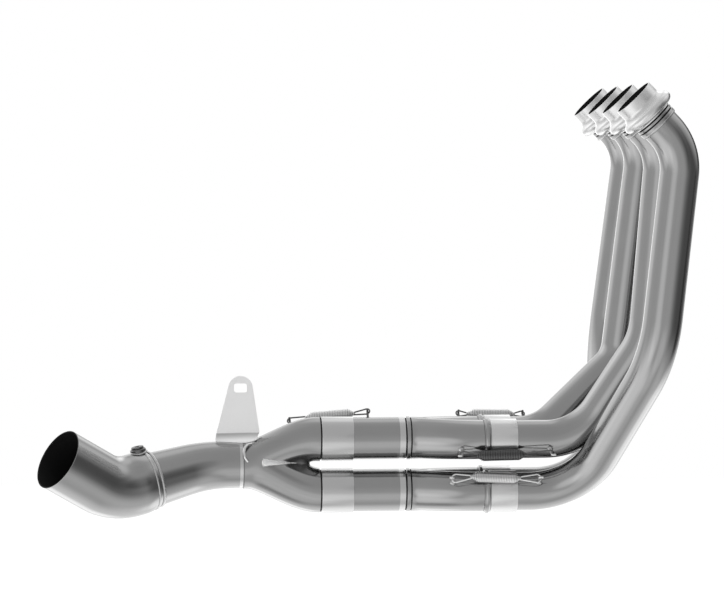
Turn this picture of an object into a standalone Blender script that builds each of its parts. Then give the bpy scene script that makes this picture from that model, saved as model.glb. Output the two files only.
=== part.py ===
# Four-into-two-into-one exhaust header of an inline-four motorcycle.
# Metres, +Z up, +X to the front of the machine, -Y to its right-hand side.
# The pieces are laid out from the joint of the Y collector and the mid pipe,
# and place_origin() then moves the origin to the bottom centre of the whole header.
import bpy
import bmesh
from math import acos, asin, ceil, cos, pi, radians, sin, sqrt, tan
from mathutils import Matrix, Vector

MM = 0.001

# Clearances
FIT_GAP = 0.3 * MM             # between pieces that touch, are welded or slide in each other

# Fineness
BEND_STEP = radians(18)        # largest turn between two rings of a bent tube
TUBE_SIDES = 16
LARGE_SIDES = 18
WIRE_SIDES = 6
SPRING_SIDES = 12
BOSS_SIDES = 12
WIRE_STEP = radians(45)        # the same for wires

# Cylinder head ports
PORT_PITCH = 84.7 * MM         # from one cylinder to the next
PORT_REACH = 131.0 * MM        # of the port faces' centres ahead of the collectors' inlets
PORT_Z = 363.0 * MM
PORT_ANGLE = radians(45.5)     # how far the ports point down

# Port sleeves, turned from bar
SLEEVE_RADIUS = 21.0 * MM      # the spigot that enters the port
SPIGOT_LENGTH = 14.0 * MM
SPIGOT_WALL = 1.4 * MM
BORE_STRAIGHT = 8.4 * MM       # behind this the bore narrows to the tube's
LIP_RADIUS = 28.0 * MM         # the lip that the flange plate bears on
FLARE_LENGTH = 8.5 * MM
LIP_LENGTH = 3.2 * MM
NECK_RADIUS = 20.4 * MM
NECK_LENGTH = 9.5 * MM

# Primary tubes
PRIMARY_RADIUS = 19.0 * MM
PRIMARY_WALL = 1.2 * MM
TOP_BEND = 54.0 * MM
# For each cylinder: from the port face to the corner of the top bend
KNEE_REACH = {1: 68.7 * MM, 2: 67.2 * MM, 3: 62.8 * MM, 4: 65.0 * MM}
# For each cylinder: the corner where the down tube ends (ahead of the inlets, shift towards the middle, z),
# the corner where the tube turns along its row (ahead of the inlets), and the radii of these two bends
SHIN_CORNERS = {1: (157.5 * MM, 2.0 * MM, 112.0 * MM), 2: (162.2 * MM, 0.0 * MM, 125.0 * MM),
                3: (148.5 * MM, 0.0 * MM, 99.5 * MM), 4: (149.0 * MM, 4.0 * MM, 112.0 * MM)}
HEEL_REACH = {1: 97.5 * MM, 2: 99.0 * MM, 3: 64.5 * MM, 4: 128.0 * MM}
LOWER_BENDS = {1: (110.0 * MM, 72.0 * MM), 2: (76.0 * MM, 64.0 * MM),
               3: (38.0 * MM, 58.0 * MM), 4: (90.0 * MM, 78.0 * MM)}

# Rows of collectors: the outer cylinders feed the lower one, the inner cylinders the upper one
UPPER_ROW_Z = 24.0 * MM
LOWER_ROW_Z = -28.2 * MM
INLET_SPACING = 44.0 * MM      # between the two inlets of a collector

# Lengths along a row, from the Y collector's outlet to the front
Y_LENGTH = 76.0 * MM
REAR_SLEEVE_LENGTH = 33.0 * MM
LINK_LENGTH = 52.5 * MM        # of the link tube that shows
RING_LENGTH = 6.0 * MM
COLLECTOR_LENGTH = 70.5 * MM
FRONT_SLEEVE_LENGTH = 33.0 * MM

# Slip joints
SHOULDER_LENGTH = 6.0 * MM
SHOULDER_HEIGHT = 0.7 * MM
SOCKET_WALL = 1.5 * MM         # of the sleeves at the collectors' inlets
REAR_SOCKET_WALL = 0.9 * MM
SOCKET_STOP = 4.0 * MM         # solid length behind the end of the inner tube

# Two-into-one collectors of the rows
COLLECTOR_OUTLET_RADIUS = 20.4 * MM
COLLECTOR_BRANCH_RADIUS = 19.6 * MM
COLLECTOR_WALL = 1.2 * MM
ROW_MERGE_SHARE = 0.95         # share of a collector's length over which its branches run together

# Link tubes between the collectors and the Y collector
LINK_RADIUS = 21.0 * MM
LINK_WALL = 1.2 * MM
RING_HEIGHT = 0.6 * MM

# Y collector, pressed in two halves
Y_OUTLET_RADIUS = 23.2 * MM
Y_OUTLET_RISE = 0.8 * MM       # of the outlet above the middle of its branches
Y_SEAM_RISE = 4.5 * MM         # of the seam between the branches above their middle, near the outlet
Y_SEAM_START = 18.0 * MM       # length over which it rises
Y_BRANCH_RADIUS = 21.8 * MM
Y_WALL = 1.2 * MM
Y_MERGE_SHARE = 1.0
CROTCH_WIDTH = 5.0 * MM        # of the edge where two branches part
ROW_SPREAD_POWER = 1.1         # above 1, the branches leave the outlet more gently
Y_SPREAD_POWER = 1.45

# Mid pipe and outlet elbow
MID_END_RADIUS = 27.1 * MM
MID_POWER = 1.65               # above 1, the mid pipe opens more towards its end
ELBOW_STEP = 0.6 * MM          # from the mid pipe's radius to the elbow's first
ELBOW_RADIUS = 31.0 * MM
ELBOW_FLARE = 0.16             # share of the elbow over which it opens from the mid pipe's radius
MID_SHARE = 0.455              # share of the way to the outlet that the mid pipe takes
EXIT_WALL = 1.5 * MM
MID_BEND = 112.5 * MM
ELBOW_BEND = 52.3 * MM

# Springs that hold the slip joints: close-wound bodies with conical ends and wire loops
SPRING_BODY = 50.0 * MM
SPRING_RADIUS = 5.6 * MM
SPRING_CONE = 8.0 * MM         # length of each conical end
SPRING_TIP_RADIUS = 2.2 * MM
SPRING_WIRE = 0.8 * MM         # radius
LOOP_HALF_WIDTH = 2.5 * MM
STANDOFF = 8.4 * MM            # of a spring's axis from the tube's surface, at its hooks
HOOK_WIRE = 1.15 * MM          # radius
HOOK_OVER = 2.6 * MM           # from the spring's axis to the top of its hook
HOOK_BEND = 1.8 * MM
HOOK_TIP = 4.0 * MM

# For each spring: how far behind its slip joint's socket the rear hook stands, how far ahead of the sleeve
# the front one, and their angles round the tube from the top to the near side
SPRING_SEATS = {
    1: (31.0 * MM, 24.0 * MM, radians(58), radians(58)),
    2: (23.0 * MM, 32.0 * MM, radians(117), radians(117)),
    3: (16.0 * MM, 22.0 * MM, radians(-49), radians(-49)),
    4: (31.0 * MM, 24.0 * MM, radians(-75), radians(-75)),
    5: (28.0 * MM, 17.0 * MM, radians(-50), radians(-34)),
    6: (20.0 * MM, 14.0 * MM, radians(-90), radians(-90)),
}
# For each spring: how far the rear and front ends of its body are lifted off the line between the hooks,
# where it rides over its sleeve, and how far the body lies to the front of their middle
SPRING_LIFTS = {1: (4.4 * MM, 0.8 * MM, -2.5 * MM), 2: (2.6 * MM, 1.2 * MM, -6.0 * MM),
                3: (2.0 * MM, 0.6 * MM, 0.0), 4: (5.4 * MM, 1.4 * MM, -2.5 * MM),
                5: (3.0 * MM, 0.6 * MM, 1.5 * MM), 6: (2.4 * MM, 0.6 * MM, 0.0)}

# Hook for the centre stand's spring, beside the Y collector's outlet
OUTLET_HOOK_X = 4.5 * MM
OUTLET_HOOK_ANGLE = radians(62)
OUTLET_HOOK_RISE = 0.75 * MM

# Mounting bracket
BRACKET_SHEET = 2.5 * MM
BRACKET_FRONT_X = 16.0 * MM    # ends of the fold between the plate and its foot
BRACKET_REAR_X = -27.0 * MM
FOLD_FRONT_RISE = 4.5 * MM     # of the fold above the pipe under it
FOLD_REAR_RISE = 8.5 * MM
# Ends of the foot's edge, and how far it lies from the plate to the near side
FOOT_ENDS = ((-28.5 * MM, 4.0 * MM), (12.0 * MM, 10.0 * MM))
BRACKET_TOP_RADIUS = 12.2 * MM
BRACKET_TOP_X = -3.0 * MM      # centre of the rounded top
BRACKET_TOP_Z = 75.5 * MM
SLOT_LENGTH = 13.0 * MM
SLOT_HEIGHT = 8.8 * MM
SLOT_CORNER = 2.5 * MM

# Sensor boss and its plug
BOSS_RADIUS = 7.8 * MM
BOSS_HEIGHT = 3.6 * MM
BOSS_SKIRT = 3.0 * MM          # below its seat, before the saddle is cut
BOSS_SHARE = 0.08              # share of the elbow in front of the boss
PLUG_RADIUS = 5.0 * MM
PLUG_DEPTH = 2.6 * MM
PLUG_HEAD_RADIUS = 6.2 * MM
PLUG_HEAD_HEIGHT = 2.2 * MM
PLUG_EDGE = 0.6 * MM
PLUG_SOCKET_RADIUS = 2.5 * MM
PLUG_SOCKET_DEPTH = 1.4 * MM

# Stations along the rows that several pieces share
REAR_SOCKET_X = Y_LENGTH + FIT_GAP
LINK_FRONT_X = Y_LENGTH + REAR_SLEEVE_LENGTH + LINK_LENGTH
COLLECTOR_X = LINK_FRONT_X + RING_LENGTH
INLET_X = COLLECTOR_X + COLLECTOR_LENGTH


def clear_scene():
    for thing in list(bpy.data.objects):
        bpy.data.objects.remove(thing)


def metal(name, colour, roughness, metallic=1.0):
    material = bpy.data.materials.new(name)
    material.use_nodes = True
    shader = material.node_tree.nodes["Principled BSDF"]
    shader.inputs["Base Color"].default_value = (*colour, 1.0)
    shader.inputs["Roughness"].default_value = roughness
    shader.inputs["Metallic"].default_value = metallic
    return material


def add_object(name, mesh_data, material):
    mesh = bpy.data.meshes.new(name)
    mesh_data.to_mesh(mesh)
    mesh_data.free()
    mesh.materials.append(material)
    mesh.shade_smooth()
    mesh.set_sharp_from_angle(angle=radians(35))
    thing = bpy.data.objects.new(name, mesh)
    bpy.context.collection.objects.link(thing)
    return thing


def close_up(mesh_data):
    bmesh.ops.recalc_face_normals(mesh_data, faces=mesh_data.faces)
    return mesh_data


def add_ring(mesh_data, points):
    return [mesh_data.verts.new(point) for point in points]


def join_rings(mesh_data, first, second):
    count = len(first)
    for i in range(count):
        j = (i + 1) % count
        mesh_data.faces.new((first[i], first[j], second[j], second[i]))


# Paths

def bend_path(corners, bend_radii, bend_step=BEND_STEP):
    """Stations (centre, tangent) of straight runs that arcs join at the corners."""
    points = [Vector(corner) for corner in corners]
    stations = [(points[0], (points[1] - points[0]).normalized())]
    for before, corner, after, radius in zip(points, points[1:], points[2:], bend_radii):
        incoming = (corner - before).normalized()
        outgoing = (after - corner).normalized()
        turn = acos(max(-1.0, min(1.0, incoming.dot(outgoing))))
        inward = (outgoing - incoming * cos(turn)).normalized()
        start = corner - incoming * radius * tan(turn / 2)
        centre = start + inward * radius
        steps = max(2, ceil(turn / bend_step))
        for k in range(steps + 1):
            angle = turn * k / steps
            place = centre - inward * radius * cos(angle) + incoming * radius * sin(angle)
            stations.append((place, incoming * cos(angle) + inward * sin(angle)))
    stations.append((points[-1], (points[-1] - points[-2]).normalized()))
    return stations


def path_lengths(stations):
    lengths = [0.0]
    for (first, _), (second, _) in zip(stations, stations[1:]):
        lengths.append(lengths[-1] + (second - first).length)
    return lengths


def station_at(stations, length):
    """The station at a length along the path."""
    lengths = path_lengths(stations)
    for k in range(1, len(stations)):
        if length <= lengths[k] or k == len(stations) - 1:
            share = (length - lengths[k - 1]) / (lengths[k] - lengths[k - 1])
            place = stations[k - 1][0].lerp(stations[k][0], share)
            return place, stations[k - 1][1].lerp(stations[k][1], share).normalized()


def cut_path(stations, start, end):
    """The stretch of a path between two lengths along it."""
    lengths = path_lengths(stations)
    inside = [s for s, length in zip(stations, lengths) if start + MM < length < end - MM]
    return [station_at(stations, start)] + inside + [station_at(stations, end)]


def carried_frames(stations, up):
    """Two cross directions at each station, carried along without twist."""
    frames = []
    side = up
    for _, tangent in stations:
        side = (side - tangent * side.dot(tangent)).normalized()
        frames.append((side, tangent.cross(side)))
    return frames


def ring_points(centre, side, across, radius, sides):
    return [centre + (side * cos(2 * pi * k / sides) + across * sin(2 * pi * k / sides)) * radius
            for k in range(sides)]


# Solids

def bent_tube(name, stations, radii, wall, material, sides=TUBE_SIDES, up=Vector((0, 0, 1))):
    """An open tube along a path, with one outer radius for each station."""
    mesh_data = bmesh.new()
    frames = carried_frames(stations, up)
    skins = []
    for inset in (0.0, wall):
        rings = [add_ring(mesh_data, ring_points(centre, side, across, radius - inset, sides))
                 for (centre, _), (side, across), radius in zip(stations, frames, radii)]
        for first, second in zip(rings, rings[1:]):
            join_rings(mesh_data, first, second)
        skins.append(rings)
    outer, inner = skins
    join_rings(mesh_data, outer[0], inner[0])
    join_rings(mesh_data, outer[-1], inner[-1])
    return add_object(name, close_up(mesh_data), material)


def bent_rod(stations, radii, up, sides=WIRE_SIDES):
    """A solid round rod along a path, closed at both ends."""
    mesh_data = bmesh.new()
    frames = carried_frames(stations, up)
    rings = [add_ring(mesh_data, ring_points(centre, side, across, radius, sides))
             for (centre, _), (side, across), radius in zip(stations, frames, radii)]
    for first, second in zip(rings, rings[1:]):
        join_rings(mesh_data, first, second)
    mesh_data.faces.new(rings[0])
    mesh_data.faces.new(rings[-1])
    return close_up(mesh_data)


def axis_frame(origin, axis, up=Vector((0, 0, 1))):
    """A matrix whose Z runs along the axis and whose X is as near to up as it can be."""
    along = Vector(axis).normalized()
    side = (up - along * up.dot(along)).normalized()
    across = along.cross(side)
    return Matrix.Translation(origin) @ Matrix((side, across, along)).transposed().to_4x4()


def turned(name, profile, frame, material, sides=TUBE_SIDES, solid=False):
    """A profile of (radius, height) turned about the frame's Z axis, into a ring or a solid."""
    mesh_data = bmesh.new()
    rings = []
    for radius, height in profile:
        points = ring_points(Vector((0, 0, height)), Vector((1, 0, 0)), Vector((0, 1, 0)), radius, sides)
        rings.append(add_ring(mesh_data, [frame @ point for point in points]))
    for first, second in zip(rings, rings[1:]):
        join_rings(mesh_data, first, second)
    if solid:
        mesh_data.faces.new(rings[0])
        mesh_data.faces.new(rings[-1])
    else:
        join_rings(mesh_data, rings[-1], rings[0])
    return add_object(name, close_up(mesh_data), material)


def add_boolean(target, tool, operation):
    """Joins or cuts the target with a tool that is left out of the model."""
    tool.display_type = "WIRE"
    tool.hide_render = True
    modifier = target.modifiers.new(operation.title(), "BOOLEAN")
    modifier.operation = operation
    modifier.solver = "EXACT"
    modifier.object = tool


# Port sleeves

def port_axis():
    return Vector((cos(PORT_ANGLE), 0.0, -sin(PORT_ANGLE)))


def port_centre(cylinder):
    return Vector((INLET_X + PORT_REACH, (cylinder - 2.5) * PORT_PITCH, PORT_Z))


SLEEVE_LENGTH = SPIGOT_LENGTH + FLARE_LENGTH + LIP_LENGTH + NECK_LENGTH


def port_sleeve(cylinder, material):
    bore = PRIMARY_RADIUS - PRIMARY_WALL
    flare_end = SPIGOT_LENGTH + FLARE_LENGTH
    lip_end = flare_end + LIP_LENGTH
    flare_steps = 3
    mouth = SLEEVE_RADIUS - SPIGOT_WALL
    profile = [(bore, SLEEVE_LENGTH), (mouth, BORE_STRAIGHT), (mouth, 0.0), (SLEEVE_RADIUS, 0.0),
               (SLEEVE_RADIUS, SPIGOT_LENGTH)]
    for k in range(1, flare_steps + 1):
        angle = pi / 2 * k / flare_steps
        profile.append((SLEEVE_RADIUS + (LIP_RADIUS - SLEEVE_RADIUS) * (1 - cos(angle)),
                        SPIGOT_LENGTH + FLARE_LENGTH * sin(angle)))
    profile += [(LIP_RADIUS, lip_end - LIP_LENGTH / 2), (NECK_RADIUS, lip_end), (NECK_RADIUS, SLEEVE_LENGTH)]
    frame = axis_frame(port_centre(cylinder), port_axis())
    return turned(f"port_sleeve_{cylinder}", profile, frame, material, LARGE_SIDES)


# Primary tubes: straight down from the port, over to the collector and back along its row

def primary_corners(cylinder):
    port = port_centre(cylinder)
    near = 1 if cylinder < 2.5 else -1
    row = UPPER_ROW_Z if cylinder in (2, 3) else LOWER_ROW_Z
    inlet = Vector((INLET_X + SOCKET_STOP + FIT_GAP, -near * INLET_SPACING / 2, row))
    start = port + port_axis() * (SLEEVE_LENGTH + FIT_GAP)
    knee = port + port_axis() * KNEE_REACH[cylinder]
    shin_reach, shin_shift, shin_z = SHIN_CORNERS[cylinder]
    shin = Vector((INLET_X + shin_reach, port.y + near * shin_shift, shin_z))
    heel = Vector((INLET_X + HEEL_REACH[cylinder], inlet.y, row))
    return [start, knee, shin, heel, inlet]


def primary_path(cylinder):
    """From the collector to the port, so that the rings start square to the slip joint."""
    bends = (TOP_BEND, *LOWER_BENDS[cylinder])
    return bend_path(primary_corners(cylinder)[::-1], bends[::-1])


def primary_tube(cylinder, material):
    stations = primary_path(cylinder)
    return bent_tube(f"primary_tube_{cylinder}", stations, [PRIMARY_RADIUS] * len(stations), PRIMARY_WALL,
                     material)


# Slip joints

def slip_sleeve(name, place, length, tube_radius, tube_wall, wall, material):
    """A turned socket with a shoulder at its rear; the inner tube stops against a step."""
    bore = tube_radius + FIT_GAP
    outer = bore + wall
    throat = tube_radius - tube_wall
    shoulder = outer + SHOULDER_HEIGHT
    lead = 0.5 * MM
    profile = [(throat, 0.0), (outer, 0.0), (shoulder, lead), (shoulder, SHOULDER_LENGTH - lead),
               (outer, SHOULDER_LENGTH), (outer, length), (bore, length), (bore, SOCKET_STOP),
               (throat, SOCKET_STOP)]
    return turned(name, profile, axis_frame(place, (1, 0, 0)), material)


# Collectors

class Merge:
    """Two round branches that run together into one round outlet, at x from 0 to length."""

    def __init__(self, length, spread, spread_power, outlet_radius, branch_radius, wall, merge_share,
                 rise=0.0):
        self.length = length
        self.spread = spread
        self.spread_power = spread_power
        self.outlet_radius = outlet_radius
        self.branch_radius = branch_radius
        self.wall = wall
        self.merge_length = length * merge_share
        self.rise = rise

    def share(self, x):
        return min(1.0, x / self.merge_length)

    def offset(self, x):
        return self.spread / 2 * sin(pi / 2 * self.share(x)) ** self.spread_power

    def middle(self, x):
        return self.rise * cos(pi / 2 * self.share(x))

    def radius(self, x, inset=0.0):
        blend = self.share(x) ** 2 * (3 - 2 * self.share(x))
        return self.outlet_radius + (self.branch_radius - self.outlet_radius) * blend - inset

    def crotch(self, inset):
        """Where the two circles have drawn apart to the width of the crotch."""
        low, high = 0.0, self.merge_length
        for _ in range(40):
            x = (low + high) / 2
            overlap = self.radius(x, inset) ** 2 - self.offset(x) ** 2
            if overlap > (CROTCH_WIDTH / 2) ** 2:
                low = x
            else:
                high = x
        return low

    def arc(self, x, inset, side, beta, arc_steps):
        """One branch's arc, from notch to notch, as (height, across) pairs."""
        radius = self.radius(x, inset)
        points = []
        for k in range(arc_steps + 1):
            angle = -beta + (pi + 2 * beta) * k / arc_steps
            height = self.middle(x) + side * (self.offset(x) + radius * sin(angle))
            points.append((x, height, radius * cos(angle)))
        return points

    def skin(self, mesh_data, inset, place, arc_steps, merge_steps, branch_steps):
        """The skin from the outlet to both branch ends; returns its three end rings."""
        crotch = self.crotch(inset)
        waist = None
        first = None
        for k in range(merge_steps + 1):
            x = crotch * k / merge_steps
            beta = asin(min(1.0, self.offset(x) / self.radius(x, inset)))
            upper = self.arc(x, inset, 1, beta, arc_steps)
            lower = self.arc(x, inset, -1, beta, arc_steps)
            ring = add_ring(mesh_data, [place(*point) for point in upper + lower[-2:0:-1]])
            if waist:
                join_rings(mesh_data, waist, ring)
            else:
                first = ring
            waist = ring
        branches = (waist[:arc_steps + 1], [waist[0]] + waist[:arc_steps - 1:-1])
        ends = [first]
        for side, ring in zip((1, -1), branches):
            for k in range(1, branch_steps + 1):
                x = crotch + (self.length - crotch) * k / branch_steps
                points = self.arc(x, inset, side, beta, arc_steps)
                following = add_ring(mesh_data, [place(*point) for point in points])
                join_rings(mesh_data, ring, following)
                ring = following
            ends.append(ring)
        return ends

    def build(self, name, place, material, arc_steps, merge_steps, branch_steps):
        mesh_data = bmesh.new()
        outer = self.skin(mesh_data, 0.0, place, arc_steps, merge_steps, branch_steps)
        inner = self.skin(mesh_data, self.wall, place, arc_steps, merge_steps, branch_steps)
        for outer_ring, inner_ring in zip(outer, inner):
            join_rings(mesh_data, outer_ring, inner_ring)
        return add_object(name, close_up(mesh_data), material)


ROW_MERGE = Merge(COLLECTOR_LENGTH - 2 * FIT_GAP, INLET_SPACING, ROW_SPREAD_POWER,
                  COLLECTOR_OUTLET_RADIUS, COLLECTOR_BRANCH_RADIUS, COLLECTOR_WALL, ROW_MERGE_SHARE)
Y_MERGE = Merge(Y_LENGTH, UPPER_ROW_Z - LOWER_ROW_Z, Y_SPREAD_POWER, Y_OUTLET_RADIUS,
                Y_BRANCH_RADIUS, Y_WALL, Y_MERGE_SHARE, Y_OUTLET_RISE)
Y_MIDDLE = (UPPER_ROW_Z + LOWER_ROW_Z) / 2


def row_collector(name, row, material):
    def place(x, height, across):
        return Vector((COLLECTOR_X + FIT_GAP + x, height, row + across))
    return ROW_MERGE.build(name, place, material, 14, 4, 2)


def y_place(x, height, across):
    """The seam lies above the middle; the top and bottom outlines stay."""
    start = min(1.0, x / Y_SEAM_START)
    rise = Y_SEAM_RISE * start ** 2 * (3 - 2 * start) * (1 - (x / Y_LENGTH) ** 2)
    half_height = Y_MERGE.offset(x) + Y_MERGE.radius(x)
    from_middle = (height - Y_MERGE.middle(x)) / half_height
    return Vector((x, across, Y_MIDDLE + height + rise * (1 - from_middle ** 2)))


def y_collector(material):
    return Y_MERGE.build("y_collector", y_place, material, 16, 6, 2)


def joint_ring(name, row, material):
    """The turned ring between a link tube and its collector."""
    outer = LINK_RADIUS + RING_HEIGHT
    bore = LINK_RADIUS - LINK_WALL
    edge = 0.8 * MM
    length = RING_LENGTH - FIT_GAP
    profile = [(bore, 0.0), (outer - edge, 0.0), (outer, edge), (outer, length - edge),
               (outer - edge, length), (bore, length)]
    frame = axis_frame(Vector((LINK_FRONT_X + FIT_GAP, 0.0, row)), (1, 0, 0))
    return turned(name, profile, frame, material)


def link_tube(name, row, material):
    start = Vector((REAR_SOCKET_X + SOCKET_STOP + FIT_GAP, 0.0, row))
    end = Vector((LINK_FRONT_X, 0.0, row))
    axis = Vector((1, 0, 0))
    return bent_tube(name, [(start, axis), (end, axis)], [LINK_RADIUS] * 2, LINK_WALL, material)


# Mid pipe and outlet elbow share one path, which leaves the Y collector straight to the rear

EXIT_CORNERS = (
    (-0.3 * MM, 0.0, Y_MIDDLE + Y_OUTLET_RISE),
    (-38.9 * MM, 0.0, Y_MIDDLE + Y_OUTLET_RISE),
    (-130.5 * MM, -31.0 * MM, Y_MIDDLE - 20.6 * MM),
    (-184.1 * MM, -62.0 * MM, Y_MIDDLE + 14.0 * MM),
)


def exit_path():
    return bend_path(EXIT_CORNERS, (MID_BEND, ELBOW_BEND))


def mid_radius(share):
    return Y_OUTLET_RADIUS + (MID_END_RADIUS - Y_OUTLET_RADIUS) * share ** MID_POWER


def mid_pipe(material):
    stations = exit_path()
    length = path_lengths(stations)[-1] * MID_SHARE
    part = cut_path(stations, 0.0, length)
    radii = [mid_radius(at / length) for at in path_lengths(part)]
    return bent_tube("mid_pipe", part, radii, EXIT_WALL, material, LARGE_SIDES)


def elbow_path():
    stations = exit_path()
    total = path_lengths(stations)[-1]
    return cut_path(stations, total * MID_SHARE + FIT_GAP, total)


def elbow_radius(share):
    opened = sin(pi / 2 * min(1.0, share / ELBOW_FLARE))
    first = MID_END_RADIUS + ELBOW_STEP
    return first + (ELBOW_RADIUS - first) * opened


def outlet_elbow(material):
    part = elbow_path()
    lengths = path_lengths(part)
    radii = [elbow_radius(at / lengths[-1]) for at in lengths]
    return bent_tube("outlet_elbow", part, radii, EXIT_WALL, material, LARGE_SIDES)


# Sensor boss and plug on the elbow

def boss_frame():
    part = elbow_path()
    place, tangent = station_at(part, path_lengths(part)[-1] * BOSS_SHARE)
    up = (Vector((0, 0, 1)) - tangent * tangent.z).normalized()
    seat = place + up * (elbow_radius(BOSS_SHARE) + FIT_GAP)
    return axis_frame(seat, up, up=tangent)


def sensor_boss(material):
    """A turned boss, cut to a saddle that fits the elbow."""
    frame = boss_frame()
    bore = PLUG_RADIUS + FIT_GAP
    edge = 0.8 * MM
    profile = [(bore, -BOSS_SKIRT), (BOSS_RADIUS, -BOSS_SKIRT), (BOSS_RADIUS, BOSS_HEIGHT - edge),
               (BOSS_RADIUS - edge, BOSS_HEIGHT), (bore, BOSS_HEIGHT)]
    boss = turned("sensor_boss", profile, frame, material, BOSS_SIDES)
    part = elbow_path()
    lengths = path_lengths(part)
    radii = [elbow_radius(at / lengths[-1]) + FIT_GAP for at in lengths]
    saddle = bent_rod(part, radii, Vector((0, 0, 1)), LARGE_SIDES)
    add_boolean(boss, add_object("saddle_cutter", saddle, material), "DIFFERENCE")
    return boss


def sensor_plug(material):
    frame = boss_frame() @ Matrix.Translation((0, 0, BOSS_HEIGHT))
    top = PLUG_HEAD_HEIGHT
    profile = [(PLUG_RADIUS, -PLUG_DEPTH), (PLUG_RADIUS, FIT_GAP), (PLUG_HEAD_RADIUS, FIT_GAP),
               (PLUG_HEAD_RADIUS, top - PLUG_EDGE), (PLUG_HEAD_RADIUS - PLUG_EDGE, top),
               (PLUG_SOCKET_RADIUS, top), (PLUG_SOCKET_RADIUS, top - PLUG_SOCKET_DEPTH)]
    return turned("sensor_plug", profile, frame, material, BOSS_SIDES, solid=True)


# Mounting bracket: a bent plate with a slot at its top

def pipe_side(x, out=0.0):
    """Height of the Y collector, or behind it of the mid pipe, some way to the near side of the top."""
    if x >= 0:
        height = Y_MERGE.middle(x) + Y_MERGE.offset(x) + sqrt(Y_MERGE.radius(x) ** 2 - out ** 2)
        return y_place(x, height, -out).z
    stations = exit_path()
    length = path_lengths(stations)[-1] * MID_SHARE
    place, _ = station_at(stations, -x)
    return place.z + sqrt(mid_radius(-x / length) ** 2 - out ** 2)


def mounting_bracket(material):
    """The plate stands in line with the pipe; its foot is folded down to the near side."""
    top_steps = 8
    lean = radians(10)
    plate = [(BRACKET_FRONT_X, pipe_side(BRACKET_FRONT_X) + FOLD_FRONT_RISE)]
    for k in range(top_steps + 1):
        angle = lean + (pi - 2 * lean) * k / top_steps
        plate.append((BRACKET_TOP_X + BRACKET_TOP_RADIUS * cos(angle),
                      BRACKET_TOP_Z + BRACKET_TOP_RADIUS * sin(angle)))
    plate.append((BRACKET_REAR_X, pipe_side(BRACKET_REAR_X) + FOLD_REAR_RISE))
    foot = [(x, out, pipe_side(x, out - BRACKET_SHEET / 2) + FIT_GAP) for x, out in FOOT_ENDS]
    mesh_data = bmesh.new()
    rims = []
    for shift in (-BRACKET_SHEET / 2, BRACKET_SHEET / 2):
        plate_rim = add_ring(mesh_data, [(x, shift, z) for x, z in plate])
        foot_rim = add_ring(mesh_data, [(x, shift - out, z) for x, out, z in foot])
        mesh_data.faces.new(plate_rim)
        mesh_data.faces.new((plate_rim[-1], *foot_rim, plate_rim[0]))
        rims.append(plate_rim + foot_rim)
    join_rings(mesh_data, *rims)
    bracket = add_object("mounting_bracket", close_up(mesh_data), material)
    add_boolean(bracket, slot_cutter(material), "DIFFERENCE")
    return bracket


def slot_cutter(material):
    mesh_data = bmesh.new()
    rings = []
    for y in (-2 * BRACKET_SHEET, 2 * BRACKET_SHEET):
        points = []
        for quarter in range(4):
            sign_x = 1 if quarter in (0, 3) else -1
            sign_z = 1 if quarter in (0, 1) else -1
            for k in range(3):
                angle = pi / 2 * quarter + pi / 4 * k
                x = BRACKET_TOP_X + sign_x * (SLOT_LENGTH / 2 - SLOT_CORNER) + SLOT_CORNER * cos(angle)
                z = BRACKET_TOP_Z + sign_z * (SLOT_HEIGHT / 2 - SLOT_CORNER) + SLOT_CORNER * sin(angle)
                points.append((x, y, z))
        rings.append(add_ring(mesh_data, points))
    join_rings(mesh_data, *rings)
    mesh_data.faces.new(rings[0])
    mesh_data.faces.new(rings[1])
    return add_object("slot_cutter", close_up(mesh_data), material)


# Springs and the hooks that they are stretched over

def roll_direction(angle):
    """Square to the rows: 0 is up, positive turns to the near side."""
    return Vector((0.0, -sin(angle), cos(angle)))


def hook_seat(centre, tangent, radius, angle):
    """A point on a tube's surface and the direction out of it."""
    out = roll_direction(angle)
    out = (out - tangent * out.dot(tangent)).normalized()
    return centre + out * radius, out


def collector_seat(cylinder, length_in, angle):
    """On a row collector's branch, some way in from its inlet."""
    x = ROW_MERGE.length - length_in
    near = 1 if cylinder < 2.5 else -1
    row = UPPER_ROW_Z if cylinder in (2, 3) else LOWER_ROW_Z
    centre = Vector((COLLECTOR_X + FIT_GAP + x, -near * ROW_MERGE.offset(x), row))
    return hook_seat(centre, Vector((1, 0, 0)), ROW_MERGE.radius(x), angle)


def primary_seat(cylinder, length_out, angle):
    """On a primary tube, some way ahead of its slip sleeve."""
    stations = primary_path(cylinder)
    buried = FRONT_SLEEVE_LENGTH - SOCKET_STOP - FIT_GAP
    centre, tangent = station_at(stations, buried + length_out)
    return hook_seat(centre, tangent, PRIMARY_RADIUS, angle)


def branch_seat(upper, length_in, angle):
    """On a branch of the Y collector, some way in from its end."""
    x = Y_LENGTH - length_in
    side = 1 if upper else -1
    height = Y_MERGE.middle(x) + side * Y_MERGE.offset(x)
    out = roll_direction(angle)
    radius = Y_MERGE.radius(x)
    return y_place(x, height + out.z * radius, out.y * radius), out


def link_seat(upper, length_out, angle):
    """On a link tube, some way ahead of its slip sleeve."""
    x = Y_LENGTH + REAR_SLEEVE_LENGTH + length_out
    centre = Vector((x, 0.0, UPPER_ROW_Z if upper else LOWER_ROW_Z))
    return hook_seat(centre, Vector((1, 0, 0)), LINK_RADIUS, angle)


def hook(name, seat, out, away, material):
    """A bent wire, welded upright on a tube, with its tip turned away from the spring."""
    away = (away - out * away.dot(out)).normalized()
    foot = seat + out * FIT_GAP
    corner = seat + out * (STANDOFF + HOOK_OVER)
    tip = corner + away * HOOK_TIP
    stations = bend_path((foot, corner, tip), (HOOK_BEND,), WIRE_STEP)
    return add_object(name, bent_rod(stations, [HOOK_WIRE] * len(stations), away.cross(out)), material)


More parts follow.
